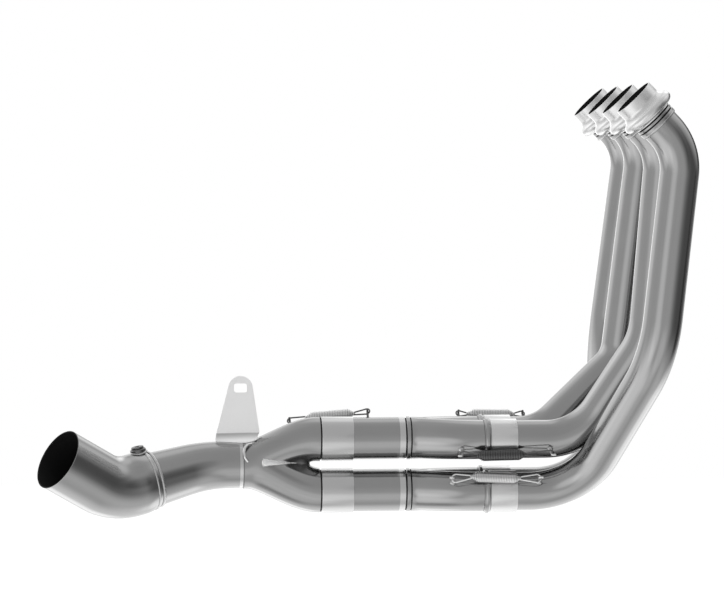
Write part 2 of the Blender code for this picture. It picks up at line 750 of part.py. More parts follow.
def loop_path(body_end, far_end, across):
    """Out along one side, round the hook and back along the other."""
    along = (far_end - body_end).normalized()
    bend = far_end - along * LOOP_HALF_WIDTH
    root = body_end - along * LOOP_HALF_WIDTH
    root_half = SPRING_TIP_RADIUS - SPRING_WIRE
    stations = [(root + across * root_half, along)]
    steps = 4
    for k in range(steps + 1):
        angle = pi * k / steps
        place = bend + across * LOOP_HALF_WIDTH * cos(angle) + along * LOOP_HALF_WIDTH * sin(angle)
        stations.append((place, along * cos(angle) - across * sin(angle)))
    stations.append((root - across * root_half, -along))
    return stations


def spring_seats(label):
    """The feet of a spring's two hooks: springs 1 to 4 hold the primary tubes, 5 and 6 the link tubes."""
    behind, ahead, rear_angle, front_angle = SPRING_SEATS[label]
    if label <= 4:
        return collector_seat(label, behind, rear_angle), primary_seat(label, ahead, front_angle)
    upper = label == 5
    return branch_seat(upper, behind, rear_angle), link_seat(upper, ahead, front_angle)


def spring_set(label, wire_metal):
    """Two hooks and the spring that is stretched over them."""
    (rear_seat, rear_out), (front_seat, front_out) = spring_seats(label)
    rear_lift, front_lift, shift = SPRING_LIFTS[label]
    rear_stem = rear_seat + rear_out * STANDOFF
    front_stem = front_seat + front_out * STANDOFF
    along = (front_stem - rear_stem).normalized()
    hook(f"hook_rear_{label}", rear_seat, rear_out, -along, wire_metal)
    hook(f"hook_front_{label}", front_seat, front_out, along, wire_metal)

    reach = HOOK_WIRE + FIT_GAP + SPRING_WIRE
    rear_end = rear_stem - along * reach
    front_end = front_stem + along * reach
    middle = (rear_stem + front_stem) / 2 + along * shift
    body_rear = middle - along * SPRING_BODY / 2 + rear_out * rear_lift
    body_front = middle + along * SPRING_BODY / 2 + front_out * front_lift
    middle = (body_rear + body_front) / 2
    along = (body_front - body_rear).normalized()
    up = (rear_out + front_out).normalized()
    across = along.cross(up).normalized()
    frame = axis_frame(middle - along * SPRING_BODY / 2, along, up)
    core = [(SPRING_TIP_RADIUS, 0.0), (SPRING_RADIUS, SPRING_CONE),
            (SPRING_RADIUS, SPRING_BODY - SPRING_CONE), (SPRING_TIP_RADIUS, SPRING_BODY)]
    spring = turned(f"spring_{label}", core, frame, wire_metal, SPRING_SIDES, solid=True)
    for end, sign in ((rear_end, -1), (front_end, 1)):
        body_end = middle + along * sign * (SPRING_BODY / 2)
        stations = loop_path(body_end, end, across)
        wire = bent_rod(stations, [SPRING_WIRE] * len(stations), up, 5)
        loop = add_object(f"loop_{label}_{sign}", wire, wire_metal)
        add_boolean(spring, loop, "UNION")


def outlet_hook(material):
    """The bent wire hook beside the Y collector's outlet, for the centre stand's spring."""
    angle = OUTLET_HOOK_ANGLE
    out = roll_direction(angle)
    radius = Y_MERGE.radius(OUTLET_HOOK_X) + OUTLET_HOOK_RISE
    seat = y_place(OUTLET_HOOK_X, Y_MERGE.middle(OUTLET_HOOK_X) + out.z * radius, out.y * radius)
    hook("outlet_hook", seat, out, Vector((0, -cos(angle), -sin(angle))), material)


def place_origin():
    """Moves the whole header so that the origin is at the bottom centre of its box."""
    bpy.context.view_layer.update()
    shown = [thing for thing in bpy.data.objects if not thing.hide_render]
    depsgraph = bpy.context.evaluated_depsgraph_get()
    corners = []
    for thing in shown:
        mesh = thing.evaluated_get(depsgraph).to_mesh()
        corners += [thing.matrix_world @ vertex.co for vertex in mesh.vertices]
    low = [min(corner[axis] for corner in corners) for axis in range(3)]
    high = [max(corner[axis] for corner in corners) for axis in range(3)]
    origin = Vector(((low[0] + high[0]) / 2, (low[1] + high[1]) / 2, low[2]))
    for thing in bpy.data.objects:
        thing.location -= origin
    print("origin in layout coordinates, mm:", [round(value / MM, 3) for value in origin])
    print("size, mm:", [round((b - a) / MM, 2) for a, b in zip(low, high)])


def main():
    clear_scene()
    tube_metal = metal("brushed steel", (0.42, 0.42, 0.42), 0.30)
    turned_metal = metal("turned steel", (0.66, 0.66, 0.66), 0.25)
    sheet_metal = metal("bracket sheet", (0.70, 0.70, 0.70), 0.35)
    wire_metal = metal("bright wire", (0.60, 0.60, 0.60), 0.20)
    dark_metal = metal("dark fitting", (0.12, 0.12, 0.12), 0.45)

    for cylinder in (1, 2, 3, 4):
        port_sleeve(cylinder, turned_metal)
        primary_tube(cylinder, tube_metal)
        near = 1 if cylinder < 2.5 else -1
        row = UPPER_ROW_Z if cylinder in (2, 3) else LOWER_ROW_Z
        inlet = Vector((INLET_X, -near * INLET_SPACING / 2, row))
        slip_sleeve(f"slip_sleeve_{cylinder}", inlet, FRONT_SLEEVE_LENGTH,
                    PRIMARY_RADIUS, PRIMARY_WALL, SOCKET_WALL, turned_metal)
    for label, row in (("upper", UPPER_ROW_Z), ("lower", LOWER_ROW_Z)):
        row_collector(f"collector_{label}", row, tube_metal)
        joint_ring(f"joint_ring_{label}", row, turned_metal)
        link_tube(f"link_tube_{label}", row, tube_metal)
        slip_sleeve(f"rear_sleeve_{label}", Vector((REAR_SOCKET_X, 0.0, row)), REAR_SLEEVE_LENGTH,
                    LINK_RADIUS, LINK_WALL, REAR_SOCKET_WALL, turned_metal)
    y_collector(tube_metal)
    mid_pipe(tube_metal)
    outlet_elbow(tube_metal)
    sensor_boss(dark_metal)
    sensor_plug(dark_metal)
    mounting_bracket(sheet_metal)
    outlet_hook(wire_metal)

    for label in SPRING_SEATS:
        spring_set(label, wire_metal)
    place_origin()


main()
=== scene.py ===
import bmesh
import bpy
from math import acos, atan2, ceil, cos, degrees, pi, radians, sin, sqrt, tan
from mathutils import Matrix, Vector, noise


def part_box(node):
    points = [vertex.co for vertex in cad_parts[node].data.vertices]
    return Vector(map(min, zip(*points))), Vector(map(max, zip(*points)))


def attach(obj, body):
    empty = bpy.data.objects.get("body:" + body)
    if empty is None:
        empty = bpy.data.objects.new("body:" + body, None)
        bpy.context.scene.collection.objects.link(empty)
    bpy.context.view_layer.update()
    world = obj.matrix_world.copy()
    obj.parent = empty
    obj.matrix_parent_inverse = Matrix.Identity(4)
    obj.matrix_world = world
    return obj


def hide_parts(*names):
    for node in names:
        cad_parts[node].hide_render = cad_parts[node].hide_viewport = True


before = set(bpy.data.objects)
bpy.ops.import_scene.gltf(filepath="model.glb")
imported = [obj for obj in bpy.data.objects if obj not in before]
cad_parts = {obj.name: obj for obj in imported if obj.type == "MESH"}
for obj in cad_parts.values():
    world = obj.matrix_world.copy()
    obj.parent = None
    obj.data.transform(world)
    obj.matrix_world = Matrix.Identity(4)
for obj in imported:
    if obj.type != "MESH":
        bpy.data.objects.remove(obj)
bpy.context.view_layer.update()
print("frame loaded:", len(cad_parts), "nodes")

# Shapes are drawn in millimetres from the Y collector's outlet, x to the front and z up.
# A link tube's front end shows where that point lies in the frame.
mm = 0.001
rows = {"upper": 24.0, "lower": -28.2, "linkFront": 161.5, "inlet": 238.0}
linkLow, linkHigh = (Vector(corner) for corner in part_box("link_tube_upper"))
drawingOrigin = Vector((linkHigh.x - rows["linkFront"] * mm, 0.0,
                        (linkLow.z + linkHigh.z) / 2 - rows["upper"] * mm))
rowMiddle = (rows["upper"] + rows["lower"]) / 2
fitGap = 0.3
up = Vector((0, 0, 1))
forward = Vector((1, 0, 0))


def nearSide(cylinder):
    return 1 if cylinder < 2.5 else -1


def rowOf(cylinder):
    return rows["upper"] if cylinder in (2, 3) else rows["lower"]


# Shader expressions

class Socket:
    def __init__(self, graph, socket):
        self.graph = graph
        self.socket = socket

    def math(self, operation, other=None):
        inputs = {0: self}
        if other is not None:
            inputs[1] = other
        return self.graph.add("Math", {"operation": operation}, inputs)

    def __add__(self, other):
        return self.math("ADD", other)

    def __sub__(self, other):
        return self.math("SUBTRACT", other)

    def __mul__(self, other):
        return self.math("MULTIPLY", other)

    def __rsub__(self, other):
        return self * -1.0 + other

    __radd__ = __add__
    __rmul__ = __mul__

    def out(self, name):
        return Socket(self.graph, self.socket.node.outputs[name])


class Graph:
    def __init__(self, tree):
        self.tree = tree
        tree.nodes.clear()

    def add(self, kind, settings=None, inputs=None, output=0):
        node = self.tree.nodes.new("ShaderNode" + kind)
        for name, value in (settings or {}).items():
            setattr(node, name, value)
        for name, value in (inputs or {}).items():
            if isinstance(value, Socket):
                self.tree.links.new(value.socket, node.inputs[name])
            else:
                node.inputs[name].default_value = value
        return Socket(self, node.outputs[output]) if node.outputs else node

    def between(self, value, low, high, first=0.0, last=1.0):
        settings = {"interpolation_type": "SMOOTHSTEP", "clamp": True}
        return self.add("MapRange", settings, {0: value, 1: low, 2: high, 3: first, 4: last})

    def grey(self, level):
        return self.add("CombineColor", None, {0: level, 1: level, 2: level})

    def noise(self, vector, scale, detail=3.0, roughness=0.5):
        values = {"Vector": vector, "Scale": scale, "Detail": detail, "Roughness": roughness}
        return self.add("TexNoise", None, values)


# Finishes. The surface map holds the turn round a piece and the length along it in metres.

# Grey level, roughness, how far the roughness and the streaks vary, the height of the fine marks,
# and how far cloudy patches vary
metals = {
    "tube": (0.356, 0.17, 0.06, 0.05, 0.10, 0.05),
    "turned": (0.57, 0.20, 0.02, 0.02, 0.03, 0.02),
    "satin": (0.67, 0.25, 0.04, 0.03, 0.05, 0.03),
    "sheet": (0.94, 0.42, 0.06, 0.03, 0.12, 0.04),
    "wire": (0.74, 0.20, 0.05, 0.04, 0.06, 0.04),
    "weld": (0.52, 0.28, 0.08, 0.02, 0.10, 0.12),
    "dark": (0.19, 0.36, 0.08, 0.02, 0.12, 0.20),
    # a dark copy of the wire finish: painted shade on wires
    "shaded": (0.15, 0.24, 0.05, 0.04, 0.06, 0.06),
    "seam": (0.90, 0.40, 0.06, 0.02, 0.10, 0.06),
    # near black: painted shade inside tubes and bores, on cut rims and in grooves
    "insideShade": (0.012, 0.70, 0.10, 0.02, 0.25, 0.30),
}
marks = {
    "brushed": {"around": 60.0, "along": 30.0},     # long streaks that run with the tube
    "lathe": {"around": 0.6, "along": 2600.0},      # fine rings left by the tool
    "plain": {"around": 20.0, "along": 900.0},
}
texture = {"streakScale": 0.5, "fineScale": 2.0, "cloudScale": 30.0, "noiseRoughness": 0.6,
           "markDepth": 0.0001, "metalSpecular": 0.5, "insideShadeSpecular": 0.1}


def metalFinish(name, pattern, metallic=1.0, paintedShade=None):
    level, roughness, spread, streak, grain, blotch = metals[name]
    mark = marks[pattern]
    material = bpy.data.materials.new(name + "Steel")
    material.use_nodes = True
    graph = Graph(material.node_tree)
    surface = graph.add("UVMap", {"uv_map": "surface"})
    parts = graph.add("SeparateXYZ", None, {0: surface})
    turn = parts * (2 * pi)
    ring = {0: turn.math("COSINE") * mark["around"], 1: turn.math("SINE") * mark["around"],
            2: parts.out("Y") * mark["along"]}
    place = graph.add("CombineXYZ", None, ring)
    streaks = graph.noise(place, texture["streakScale"], 3.0, texture["noiseRoughness"])
    fine = graph.noise(place, texture["fineScale"], 2.0, texture["noiseRoughness"])
    cloud = graph.noise(graph.add("TexCoord", output="Object"), texture["cloudScale"])
    uneven = (streaks - 0.5) * (2 * streak) + (cloud - 0.5) * (2 * blotch) + 1.0
    # the colour can be darkened by a painted shade mask
    if paintedShade:
        uneven = uneven * paintedShade(graph)
    dullness = (streaks - 0.5) * (2 * spread) + (cloud - 0.5) * spread + roughness
    bump = graph.add("Bump", None, {"Strength": grain, "Distance": texture["markDepth"],
                                    "Height": fine * 0.5 + streaks * 0.5})
    specular = texture["metalSpecular"] if metallic else texture["insideShadeSpecular"]
    shader = graph.add("BsdfPrincipled", None, {"Base Color": graph.grey(uneven * level),
                                                "Metallic": metallic, "Roughness": dullness,
                                                "Normal": bump, "Specular IOR Level": specular})
    graph.add("OutputMaterial", None, {"Surface": shader})
    return material


finishes = {
    "tube": metalFinish("tube", "brushed"),
    "turned": metalFinish("turned", "lathe"),
    "satin": metalFinish("satin", "lathe", 0.88),
    "wire": metalFinish("wire", "brushed"),
    "shaded": metalFinish("shaded", "brushed"),
    "weld": metalFinish("weld", "plain"),
    "dark": metalFinish("dark", "lathe"),
    "seam": metalFinish("seam", "plain", 0.55),
    "insideShade": metalFinish("insideShade", "plain", 0.0),
}
print("finishes ready:", len(finishes))


# Paths

def bentPath(corners, bends, step=3.0):     # stations every few degrees of each bend
    points = [Vector(corner) for corner in corners]
    stations = [(points[0], (points[1] - points[0]).normalized())]
    for before, corner, after, radius in zip(points, points[1:], points[2:], bends):
        incoming = (corner - before).normalized()
        outgoing = (after - corner).normalized()
        turn = acos(max(-1.0, min(1.0, incoming.dot(outgoing))))
        inward = (outgoing - incoming * cos(turn)).normalized()
        centre = corner - incoming * radius * tan(turn / 2) + inward * radius
        steps = max(2, ceil(degrees(turn) / step))
        for k in range(steps + 1):
            angle = turn * k / steps
            place = centre - inward * radius * cos(angle) + incoming * radius * sin(angle)
            stations.append((place, incoming * cos(angle) + inward * sin(angle)))
    stations.append((points[-1], (points[-1] - points[-2]).normalized()))
    return stations


def runningLengths(points):
    lengths = [0.0]
    for first, second in zip(points, points[1:]):
        lengths.append(lengths[-1] + (second - first).length)
    return lengths


def pathLengths(stations):
    return runningLengths([place for place, tangent in stations])


def stationAt(stations, length):
    lengths = pathLengths(stations)
    for k in range(1, len(stations)):
        if length <= lengths[k] or k == len(stations) - 1:
            share = (length - lengths[k - 1]) / (lengths[k] - lengths[k - 1])
            place = stations[k - 1][0].lerp(stations[k][0], share)
            return place, stations[k - 1][1].lerp(stations[k][1], share).normalized()


def evenPath(stations, start, end, step):
    count = max(2, ceil((end - start) / step))
    return [stationAt(stations, start + (end - start) * k / count) for k in range(count + 1)]


def carriedFrames(stations, side):
    frames = []
    for _, tangent in stations:
        side = (side - tangent * side.dot(tangent)).normalized()
        frames.append((side, tangent.cross(side)))
    return frames


def ringAt(centre, side, across, radius, sides):
    turns = [2 * pi * k / sides for k in range(sides)]
    return [centre + (side * cos(turn) + across * sin(turn)) * radius for turn in turns]


def axisFrame(origin, axis, toward=up):
    along = Vector(axis).normalized()
    side = (toward - along * toward.dot(along)).normalized()
    return Matrix.Translation(origin) @ Matrix((side, along.cross(side), along)).transposed().to_4x4()


def lastInside(low, high, steps, inside):      # the furthest value that still lies inside
    for _ in range(steps):
        middle = (low + high) / 2
        if inside(middle):
            low = middle
        else:
            high = middle
    return low


def ease(share):
    share = max(0.0, min(1.0, share))
    return share * share * (3 - 2 * share)


def addToScene(thing):
    bpy.context.scene.collection.objects.link(thing)


# Meshes. A skin collects grids of points, and then becomes a piece that rides on the frame.

class Skin:
    def __init__(self):
        self.points = []
        self.faces = []
        self.places = []
        self.slots = []

    def grid(self, rings, closedAround=True, closedAlong=False, slotOf=None):
        start = len(self.points)
        count = len(rings[0])
        lengths = runningLengths([ring[0] for ring in rings + rings[:1]])
        for ring in rings:
            self.points += ring
        for i in range(len(rings) if closedAlong else len(rings) - 1):
            low = start + i * count
            high = start + (i + 1) % len(rings) * count
            for k in range(count if closedAround else count - 1):
                j = (k + 1) % count
                here = k / count
                there = (k + 1) / count
                self.faces.append((low + k, low + j, high + j, high + k))
                self.places.append(((here, lengths[i]), (there, lengths[i]),
                                    (there, lengths[i + 1]), (here, lengths[i + 1])))
                self.slots.append(slotOf(i) if slotOf else 0)
        return start

    def cap(self, start, count):
        self.faces.append(tuple(range(start, start + count)))
        self.places.append(tuple((k / count, 0.0) for k in range(count)))
        self.slots.append(0)

    def closedRings(self, rings, slotOf=None):
        count = len(rings[0])
        start = self.grid(rings, slotOf=slotOf)
        self.cap(start, count)
        self.cap(start + (len(rings) - 1) * count, count)

    def make(self, name, materials, slotName, nodes=(), sharp=40, merge=0.0):
        mesh = bpy.data.meshes.new(name)
        mesh.from_pydata([point * mm + drawingOrigin for point in self.points], [], self.faces)
        layer = mesh.uv_layers.new(name="surface")
        corners = [corner for face in self.places for corner in face]
        layer.data.foreach_set("uv", [value for around, along in corners
                                      for value in (around, along * mm)])
        for material in materials:
            mesh.materials.append(finishes[material])
        mesh.polygons.foreach_set("material_index", self.slots)
        work = bmesh.new()
        work.from_mesh(mesh)
        if merge:
            bmesh.ops.remove_doubles(work, verts=work.verts, dist=merge * mm)
        bmesh.ops.recalc_face_normals(work, faces=work.faces)
        work.to_mesh(mesh)
        work.free()
        mesh.shade_smooth()
        mesh.set_sharp_from_angle(angle=radians(sharp))
        thing = bpy.data.objects.new(name, mesh)
        addToScene(thing)
        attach(thing, "root")
        if nodes:
            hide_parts(*nodes)
        return thing


def openTube(name, stations, radii, wall, nodes, side=up, sides=80, edge=0.3, polished=(0, 0)):
    before, after = stations[0], stations[-1]
    stations = [before, (before[0] + before[1] * edge, before[1])] + stations[1:-1]
    stations += [(after[0] - after[1] * edge, after[1]), after]
    radii = [radii[0] - edge, radii[0]] + radii[1:-1] + [radii[-1], radii[-1] - edge]
    frames = carriedFrames(stations, side)
    outer = [ringAt(centre, *cross, radius, sides)
             for (centre, _), cross, radius in zip(stations, frames, radii)]
    inner = [ringAt(centre, *cross, radius - wall, sides)
             for (centre, _), cross, radius in zip(stations[1:-1], frames[1:-1], radii[1:-1])]
    skin = Skin()
    first, last = polished
    shine = len(outer) - 2 - last if last else len(outer)
    # slot 1 paints the inside and both cut rims near black as painted shade
    skin.grid(outer + inner[::-1], closedAlong=True,
              slotOf=lambda i: 1 if i >= len(outer) - 1 else 2 if i >= shine or i < first else 0)
    return skin.make(name, ("tube", "insideShade", "turned"), "tube", nodes)


def roundRod(skin, stations, radii, side, sides=10, slotOf=None):
    rings = [ringAt(centre, *cross, radius, sides)
             for (centre, _), cross, radius in zip(stations, carriedFrames(stations, side), radii)]
    skin.closedRings(rings, slotOf)


def softened(profile, radius, closed=True):
    points = [Vector(point) for point in profile]
    result = []
    for k, corner in enumerate(points):
        if not closed and k in (0, len(points) - 1):
            result.append(corner)
            continue
        before = points[k - 1] - corner
        after = points[(k + 1) % len(points)] - corner
        turn = pi - before.angle(after)
        if turn < radians(20):
            result.append(corner)
            continue
        reach = min(radius * tan(turn / 2), 0.45 * before.length, 0.45 * after.length)
        first = corner + before.normalized() * reach
        last = corner + after.normalized() * reach
        for step in range(4):
            share = step / 3
            result.append(first.lerp(corner, share).lerp(corner.lerp(last, share), share))
    return result


def turnedPiece(name, profile, place, nodes, finish="turned", slotName="turned", sides=96, radius=0.3,
                insideOf=0.0, solid=False, plain=(0.0, 0.0)):
    points = softened(profile, radius, not solid)

    def slotOf(i):
        first, second = points[i], points[(i + 1) % len(points)]
        # faces inside insideOf are painted near black as painted shade in bores and grooves
        if max(first.x, second.x) < insideOf:
            return 1
        return 2 if min(first.y, second.y) > plain[0] and max(first.y, second.y) < plain[1] else 0

    rings = []
    for reach, height in points:
        ring = ringAt(Vector((0, 0, height)), Vector((1, 0, 0)), Vector((0, 1, 0)), reach, sides)
        rings.append([place @ point for point in ring])
    skin = Skin()
    if solid:
        skin.closedRings(rings, slotOf)
    else:
        skin.grid(rings, closedAlong=True, slotOf=slotOf)
    return skin.make(name, (finish, "insideShade", "tube"), slotName, nodes)


# Welds: beads laid in small steps, each a little fuller in its middle

bead = {"step": 1.4, "depth": 0.16, "sides": 8, "spacing": 0.35, "wander": 0.12, "wanderScale": 0.35,
        "endSteps": 5.0, "endShare": 0.3}


def weldBead(name, points, outs, width, closed=True, flat=0.6, finish="weld", taper=0.0):
    lengths = runningLengths(points)
    rings = []
    for k, (point, out) in enumerate(zip(points, outs)):
        if closed or k < len(points) - 1:
            ahead = points[(k + 1) % len(points)]
        else:
            ahead = point * 2 - points[k - 1]
        tangent = (ahead - point).normalized()
        across = tangent.cross(out).normalized()
        ripple = 1.0 - bead["depth"] * abs(sin(pi * lengths[k] / bead["step"])) ** 3
        wander = noise.noise(point * bead["wanderScale"]) * bead["wander"]
        fromEnd = min(k, len(points) - 1 - k)
        ends = 1.0 if closed else min(1.0, bead["endShare"] + fromEnd / bead["endSteps"])
        half = width / 2 * (ripple + wander) * ends * (1.0 - taper * k / len(points))
        ring = []
        for step in range(bead["sides"]):
            turn = 2 * pi * step / bead["sides"]
            ring.append(point + across * cos(turn) * half + out * sin(turn) * half * flat)
        rings.append(ring)
    skin = Skin()
    if closed:
        skin.grid(rings, closedAlong=True)
    else:
        skin.closedRings(rings)
    return skin.make(name, (finish,), "tube", sharp=80)


def weldRound(name, centre, axis, radius, width, finish="weld"):
    place = axisFrame(centre, axis)
    count = ceil(2 * pi * radius / bead["spacing"])
    turns = [2 * pi * k / count for k in range(count)]
    outs = [place.to_3x3() @ Vector((cos(turn), sin(turn), 0)) for turn in turns]
    return weldBead(name, [centre + out * radius for out in outs], outs, width, finish=finish)


# Port sleeves

portSleeve = {"pitch": 84.7, "reach": 131.0, "height": 363.0, "slope": 45.5, "spigotRadius": 21.0,
              "spigotLength": 14.0, "spigotWall": 1.4, "boreStraight": 8.4, "lipRadius": 28.0,
              "flareLength": 7.1, "lipLength": 4.6, "neckRadius": 20.4, "neckLength": 9.5,
              "bellStart": 9.5, "beadHalf": 5.3, "beadFoot": 22.0, "beadStart": 0.45,
              "grooves": (1.4, 5.0), "grooveWidth": 1.5, "grooveDepth": 1.1}
# Knee, shin and heel are the corners of each primary tube on its way down from the port
tube = {"radius": 19.0, "wall": 1.2, "topBend": 54.0,
        "knee": {1: 68.7, 2: 67.2, 3: 62.8, 4: 65.0},
        "shin": {1: (157.5, 2.0, 112.0), 2: (162.2, 0.0, 125.0),
                 3: (148.5, 0.0, 99.5), 4: (149.0, 4.0, 112.0)},
        "heel": {1: 97.5, 2: 99.0, 3: 64.5, 4: 128.0},
        "lowerBends": {1: (110.0, 72.0), 2: (76.0, 64.0), 3: (38.0, 58.0), 4: (90.0, 78.0)}}
inletSpacing = 44.0
portAxis = Vector((cos(radians(portSleeve["slope"])), 0.0, -sin(radians(portSleeve["slope"]))))
sleeveLength = sum(portSleeve[part] for part in ("spigotLength", "flareLength", "lipLength", "neckLength"))


def portCentre(cylinder):
    return Vector((rows["inlet"] + portSleeve["reach"], (cylinder - 2.5) * portSleeve["pitch"],
                   portSleeve["height"]))


def makePortSleeve(cylinder):
    values = portSleeve
    bore = tube["radius"] - tube["wall"]
    spigot = values["spigotRadius"]
    mouth = spigot - values["spigotWall"]
    lipEnd = values["spigotLength"] + values["flareLength"] + values["lipLength"]
    profile = [(bore, sleeveLength), (mouth, values["boreStraight"]), (mouth, 0.0),
               (spigot, 0.0), (spigot, values["bellStart"])]
    # the flare runs into a lip that is rolled to a round bead
    half = values["beadHalf"]
    height = values["lipRadius"] - values["beadFoot"]
    arc = pi - values["beadStart"]
    lip = []
    for k in range(17):
        turn = arc - arc * k / 16
        lip.append((values["beadFoot"] + height * sin(turn), lipEnd - 0.1 - half + half * cos(turn)))
    for k in range(1, 9):
        share = k / 9
        profile.append((spigot + (lip[0][0] - spigot) * share * share,
                        values["bellStart"] + (lip[0][1] - values["bellStart"]) * share))
    profile += lip
    profile.append((values["neckRadius"], lipEnd))
    for place in values["grooves"]:
        for depth, along in ((0, 0), (1, 0.2), (1, 0.8), (0, 1)):
            profile.append((values["neckRadius"] - depth * values["grooveDepth"],
                            lipEnd + place + along * values["grooveWidth"]))
    profile.append((values["neckRadius"], sleeveLength))
    centre = portCentre(cylinder)
    turnedPiece(f"portSleeve{cylinder}", profile, axisFrame(centre, portAxis), (f"port_sleeve_{cylinder}",),
                "satin", radius=0.2, insideOf=mouth + 0.1, plain=(lipEnd + 0.5, 99.0))
    weldRound(f"neckWeld{cylinder}", centre + portAxis * (sleeveLength + fitGap), portAxis,
              tube["radius"] + 0.5, 3.4)


# Primary tubes

def primaryPath(cylinder):
    near = nearSide(cylinder)
    port = portCentre(cylinder)
    inlet = Vector((rows["inlet"] + joint["stop"] + fitGap, -near * inletSpacing / 2, rowOf(cylinder)))
    reach, shift, height = tube["shin"][cylinder]
    shin = Vector((rows["inlet"] + reach, port.y + near * shift, height))
    heel = Vector((rows["inlet"] + tube["heel"][cylinder], inlet.y, inlet.z))
    knee = port + portAxis * tube["knee"][cylinder]
    start = port + portAxis * (sleeveLength + fitGap)
    bends = (*tube["lowerBends"][cylinder][::-1], tube["topBend"])
    return bentPath((inlet, heel, shin, knee, start), bends)


def makePrimary(cylinder):
    stations = primaryPath(cylinder)
    openTube(f"primaryTube{cylinder}", stations, [tube["radius"]] * len(stations), tube["wall"],
             (f"primary_tube_{cylinder}",))


# Slip joints

joint = {"stop": 4.0, "frontWall": 1.5, "rearWall": 0.9, "shoulderLength": 6.0, "shoulderHeight": 0.8,
         "shoulderGroove": 0.5, "edgeDepth": 1.2, "frontLength": 33.0, "rearLength": 33.0,
         "linkRadius": 21.0, "linkWall": 1.2}


def makeSlipSleeve(name, place, length, innerRadius, innerWall, wall, node, shoulder):
    bore = innerRadius + fitGap
    outer = bore + wall
    throat = innerRadius - innerWall
    # in both branches, faces inside the second value set below are painted near black as painted shade
    if shoulder:
        crown = outer + joint["shoulderHeight"]
        low = outer - joint["shoulderGroove"]
        start, end = 1.2, joint["shoulderLength"] - 0.9
        profile = [(throat, 0.0), (low, 0.0), (outer - 0.4, start), (crown - 0.4, start + 0.2),
                   (crown, start + 1.0), (crown, end - 0.8), (crown - 0.4, end),
                   (low, end + 0.1), (low, end + 1.2), (outer, end + 1.5)]
        finish, shadeInsideOf, plainEnd = "satin", throat + 0.5, joint["shoulderLength"] + 0.5
    else:
        low = outer - joint["edgeDepth"]
        profile = [(throat, 0.0), (low, 0.0), (low, 1.1), (outer - 0.2, 1.3), (outer, 1.8)]
        finish, shadeInsideOf, plainEnd = "turned", low + 0.1, -1.0
    profile += [(outer, length), (bore, length), (bore, joint["stop"]), (throat, joint["stop"])]
    turnedPiece(name, profile, axisFrame(place, forward), (node,), finish, insideOf=shadeInsideOf,
                plain=(-1.0, plainEnd))


def makeSlipJoints():
    for cylinder in (1, 2, 3, 4):
        place = Vector((rows["inlet"], -nearSide(cylinder) * inletSpacing / 2, rowOf(cylinder)))
        makeSlipSleeve(f"slipSleeve{cylinder}", place, joint["frontLength"], tube["radius"], tube["wall"],
                       joint["frontWall"], f"slip_sleeve_{cylinder}", True)
    for label in ("upper", "lower"):
        place = Vector((yCollector["length"] + fitGap, 0.0, rows[label]))
        makeSlipSleeve(f"rearSleeve{label.title()}", place, joint["rearLength"], joint["linkRadius"],
                       joint["linkWall"], joint["rearWall"], f"rear_sleeve_{label}", False)


# Collectors: two branches melt together into one outlet, with a soft fillet in the crotch

class Merge:
    def __init__(self, values):
        self.values = values
        self.mergeLength = values["length"] * values["mergeShare"]

    def share(self, x):
        return min(1.0, max(0.0, x) / self.mergeLength)

    def offset(self, x):
        return self.values["spread"] / 2 * sin(pi / 2 * self.share(x)) ** self.values["power"]

    def middle(self, x):
        return self.values["rise"] * cos(pi / 2 * self.share(x))

    def radius(self, x):
        return self.values["outlet"] + (self.values["branch"] - self.values["outlet"]) * ease(self.share(x))

    def fillet(self, x):
        first, last, start, end = self.values["fillet"]
        return first + (last - first) * ease((x - start) / (end - start))

    def notch(self, x, inset):
        # where the fillet meets the middle, as a distance across
        reach = (self.radius(x) - inset + self.fillet(x) / 4) ** 2 - self.offset(x) ** 2
        return sqrt(reach) if reach > 0 else 0.0

    def crotch(self, inset):
        return lastInside(0.0, self.mergeLength, 40, lambda x: self.notch(x, inset) > 0)

    def reachOf(self, x, inset, angle):
        # how far from the branch's centre the melted surface lies, in one direction
        offset = self.offset(x)
        radius = self.radius(x) - inset
        fillet = self.fillet(x)
        reach = radius
        for _ in range(6):
            other = sqrt((reach * cos(angle)) ** 2 + (2 * offset + reach * sin(angle)) ** 2) - radius
            mine = reach - radius
            blend = max(0.0, fillet - abs(mine - other)) / fillet
            nearest = min(mine, other) - blend * blend * fillet / 4
            reach -= nearest * (0.9 if other > mine else 0.7)
        return reach

    def half(self, x, inset, side, arcSteps=72):
        notch = self.notch(x, inset)
        beta = atan2(self.offset(x), notch)
        points = []
        for k in range(arcSteps + 1):
            angle = -beta + (pi + 2 * beta) * k / arcSteps
            ends = k in (0, arcSteps)
            reach = self.reachOf(x, inset, angle)
            height = side * (self.offset(x) + reach * sin(angle))
            across = reach * cos(angle)
            if ends and notch > 0:
                height, across = 0.0, notch if k == 0 else -notch
            if ends and notch == 0:
                across = 0.0
            points.append((x, self.middle(x) + height, across))
        return points

    def ring(self, place, x, inset, side):
        return [place(*point) for point in self.half(x, inset, side)]

    def make(self, name, place, node):
        skin = Skin()
        # the inner skin is painted near black as painted shade inside the collector
        for inset, slot in ((0.0, 0), (self.values["wall"], 1)):
            crotch = self.crotch(inset)
            stations = [crotch * (1 - (1 - k / 36) ** 2) for k in range(37)]
            stations += [crotch + (self.values["length"] - crotch) * (k / 24) ** 2 for k in range(1, 25)]
            for side in (1, -1):
                rings = [self.ring(place, x, inset, side) for x in stations]
                skin.grid(rings, closedAround=False, slotOf=lambda i: slot)
        for x in (0.0, self.values["length"]):
            for side in (1, -1):
                rims = [self.ring(place, x, inset, side) for inset in (0.0, self.values["wall"])]
                skin.grid(rims, closedAround=False)
        return skin.make(name, ("tube", "insideShade"), "tube", (node,), merge=0.02)


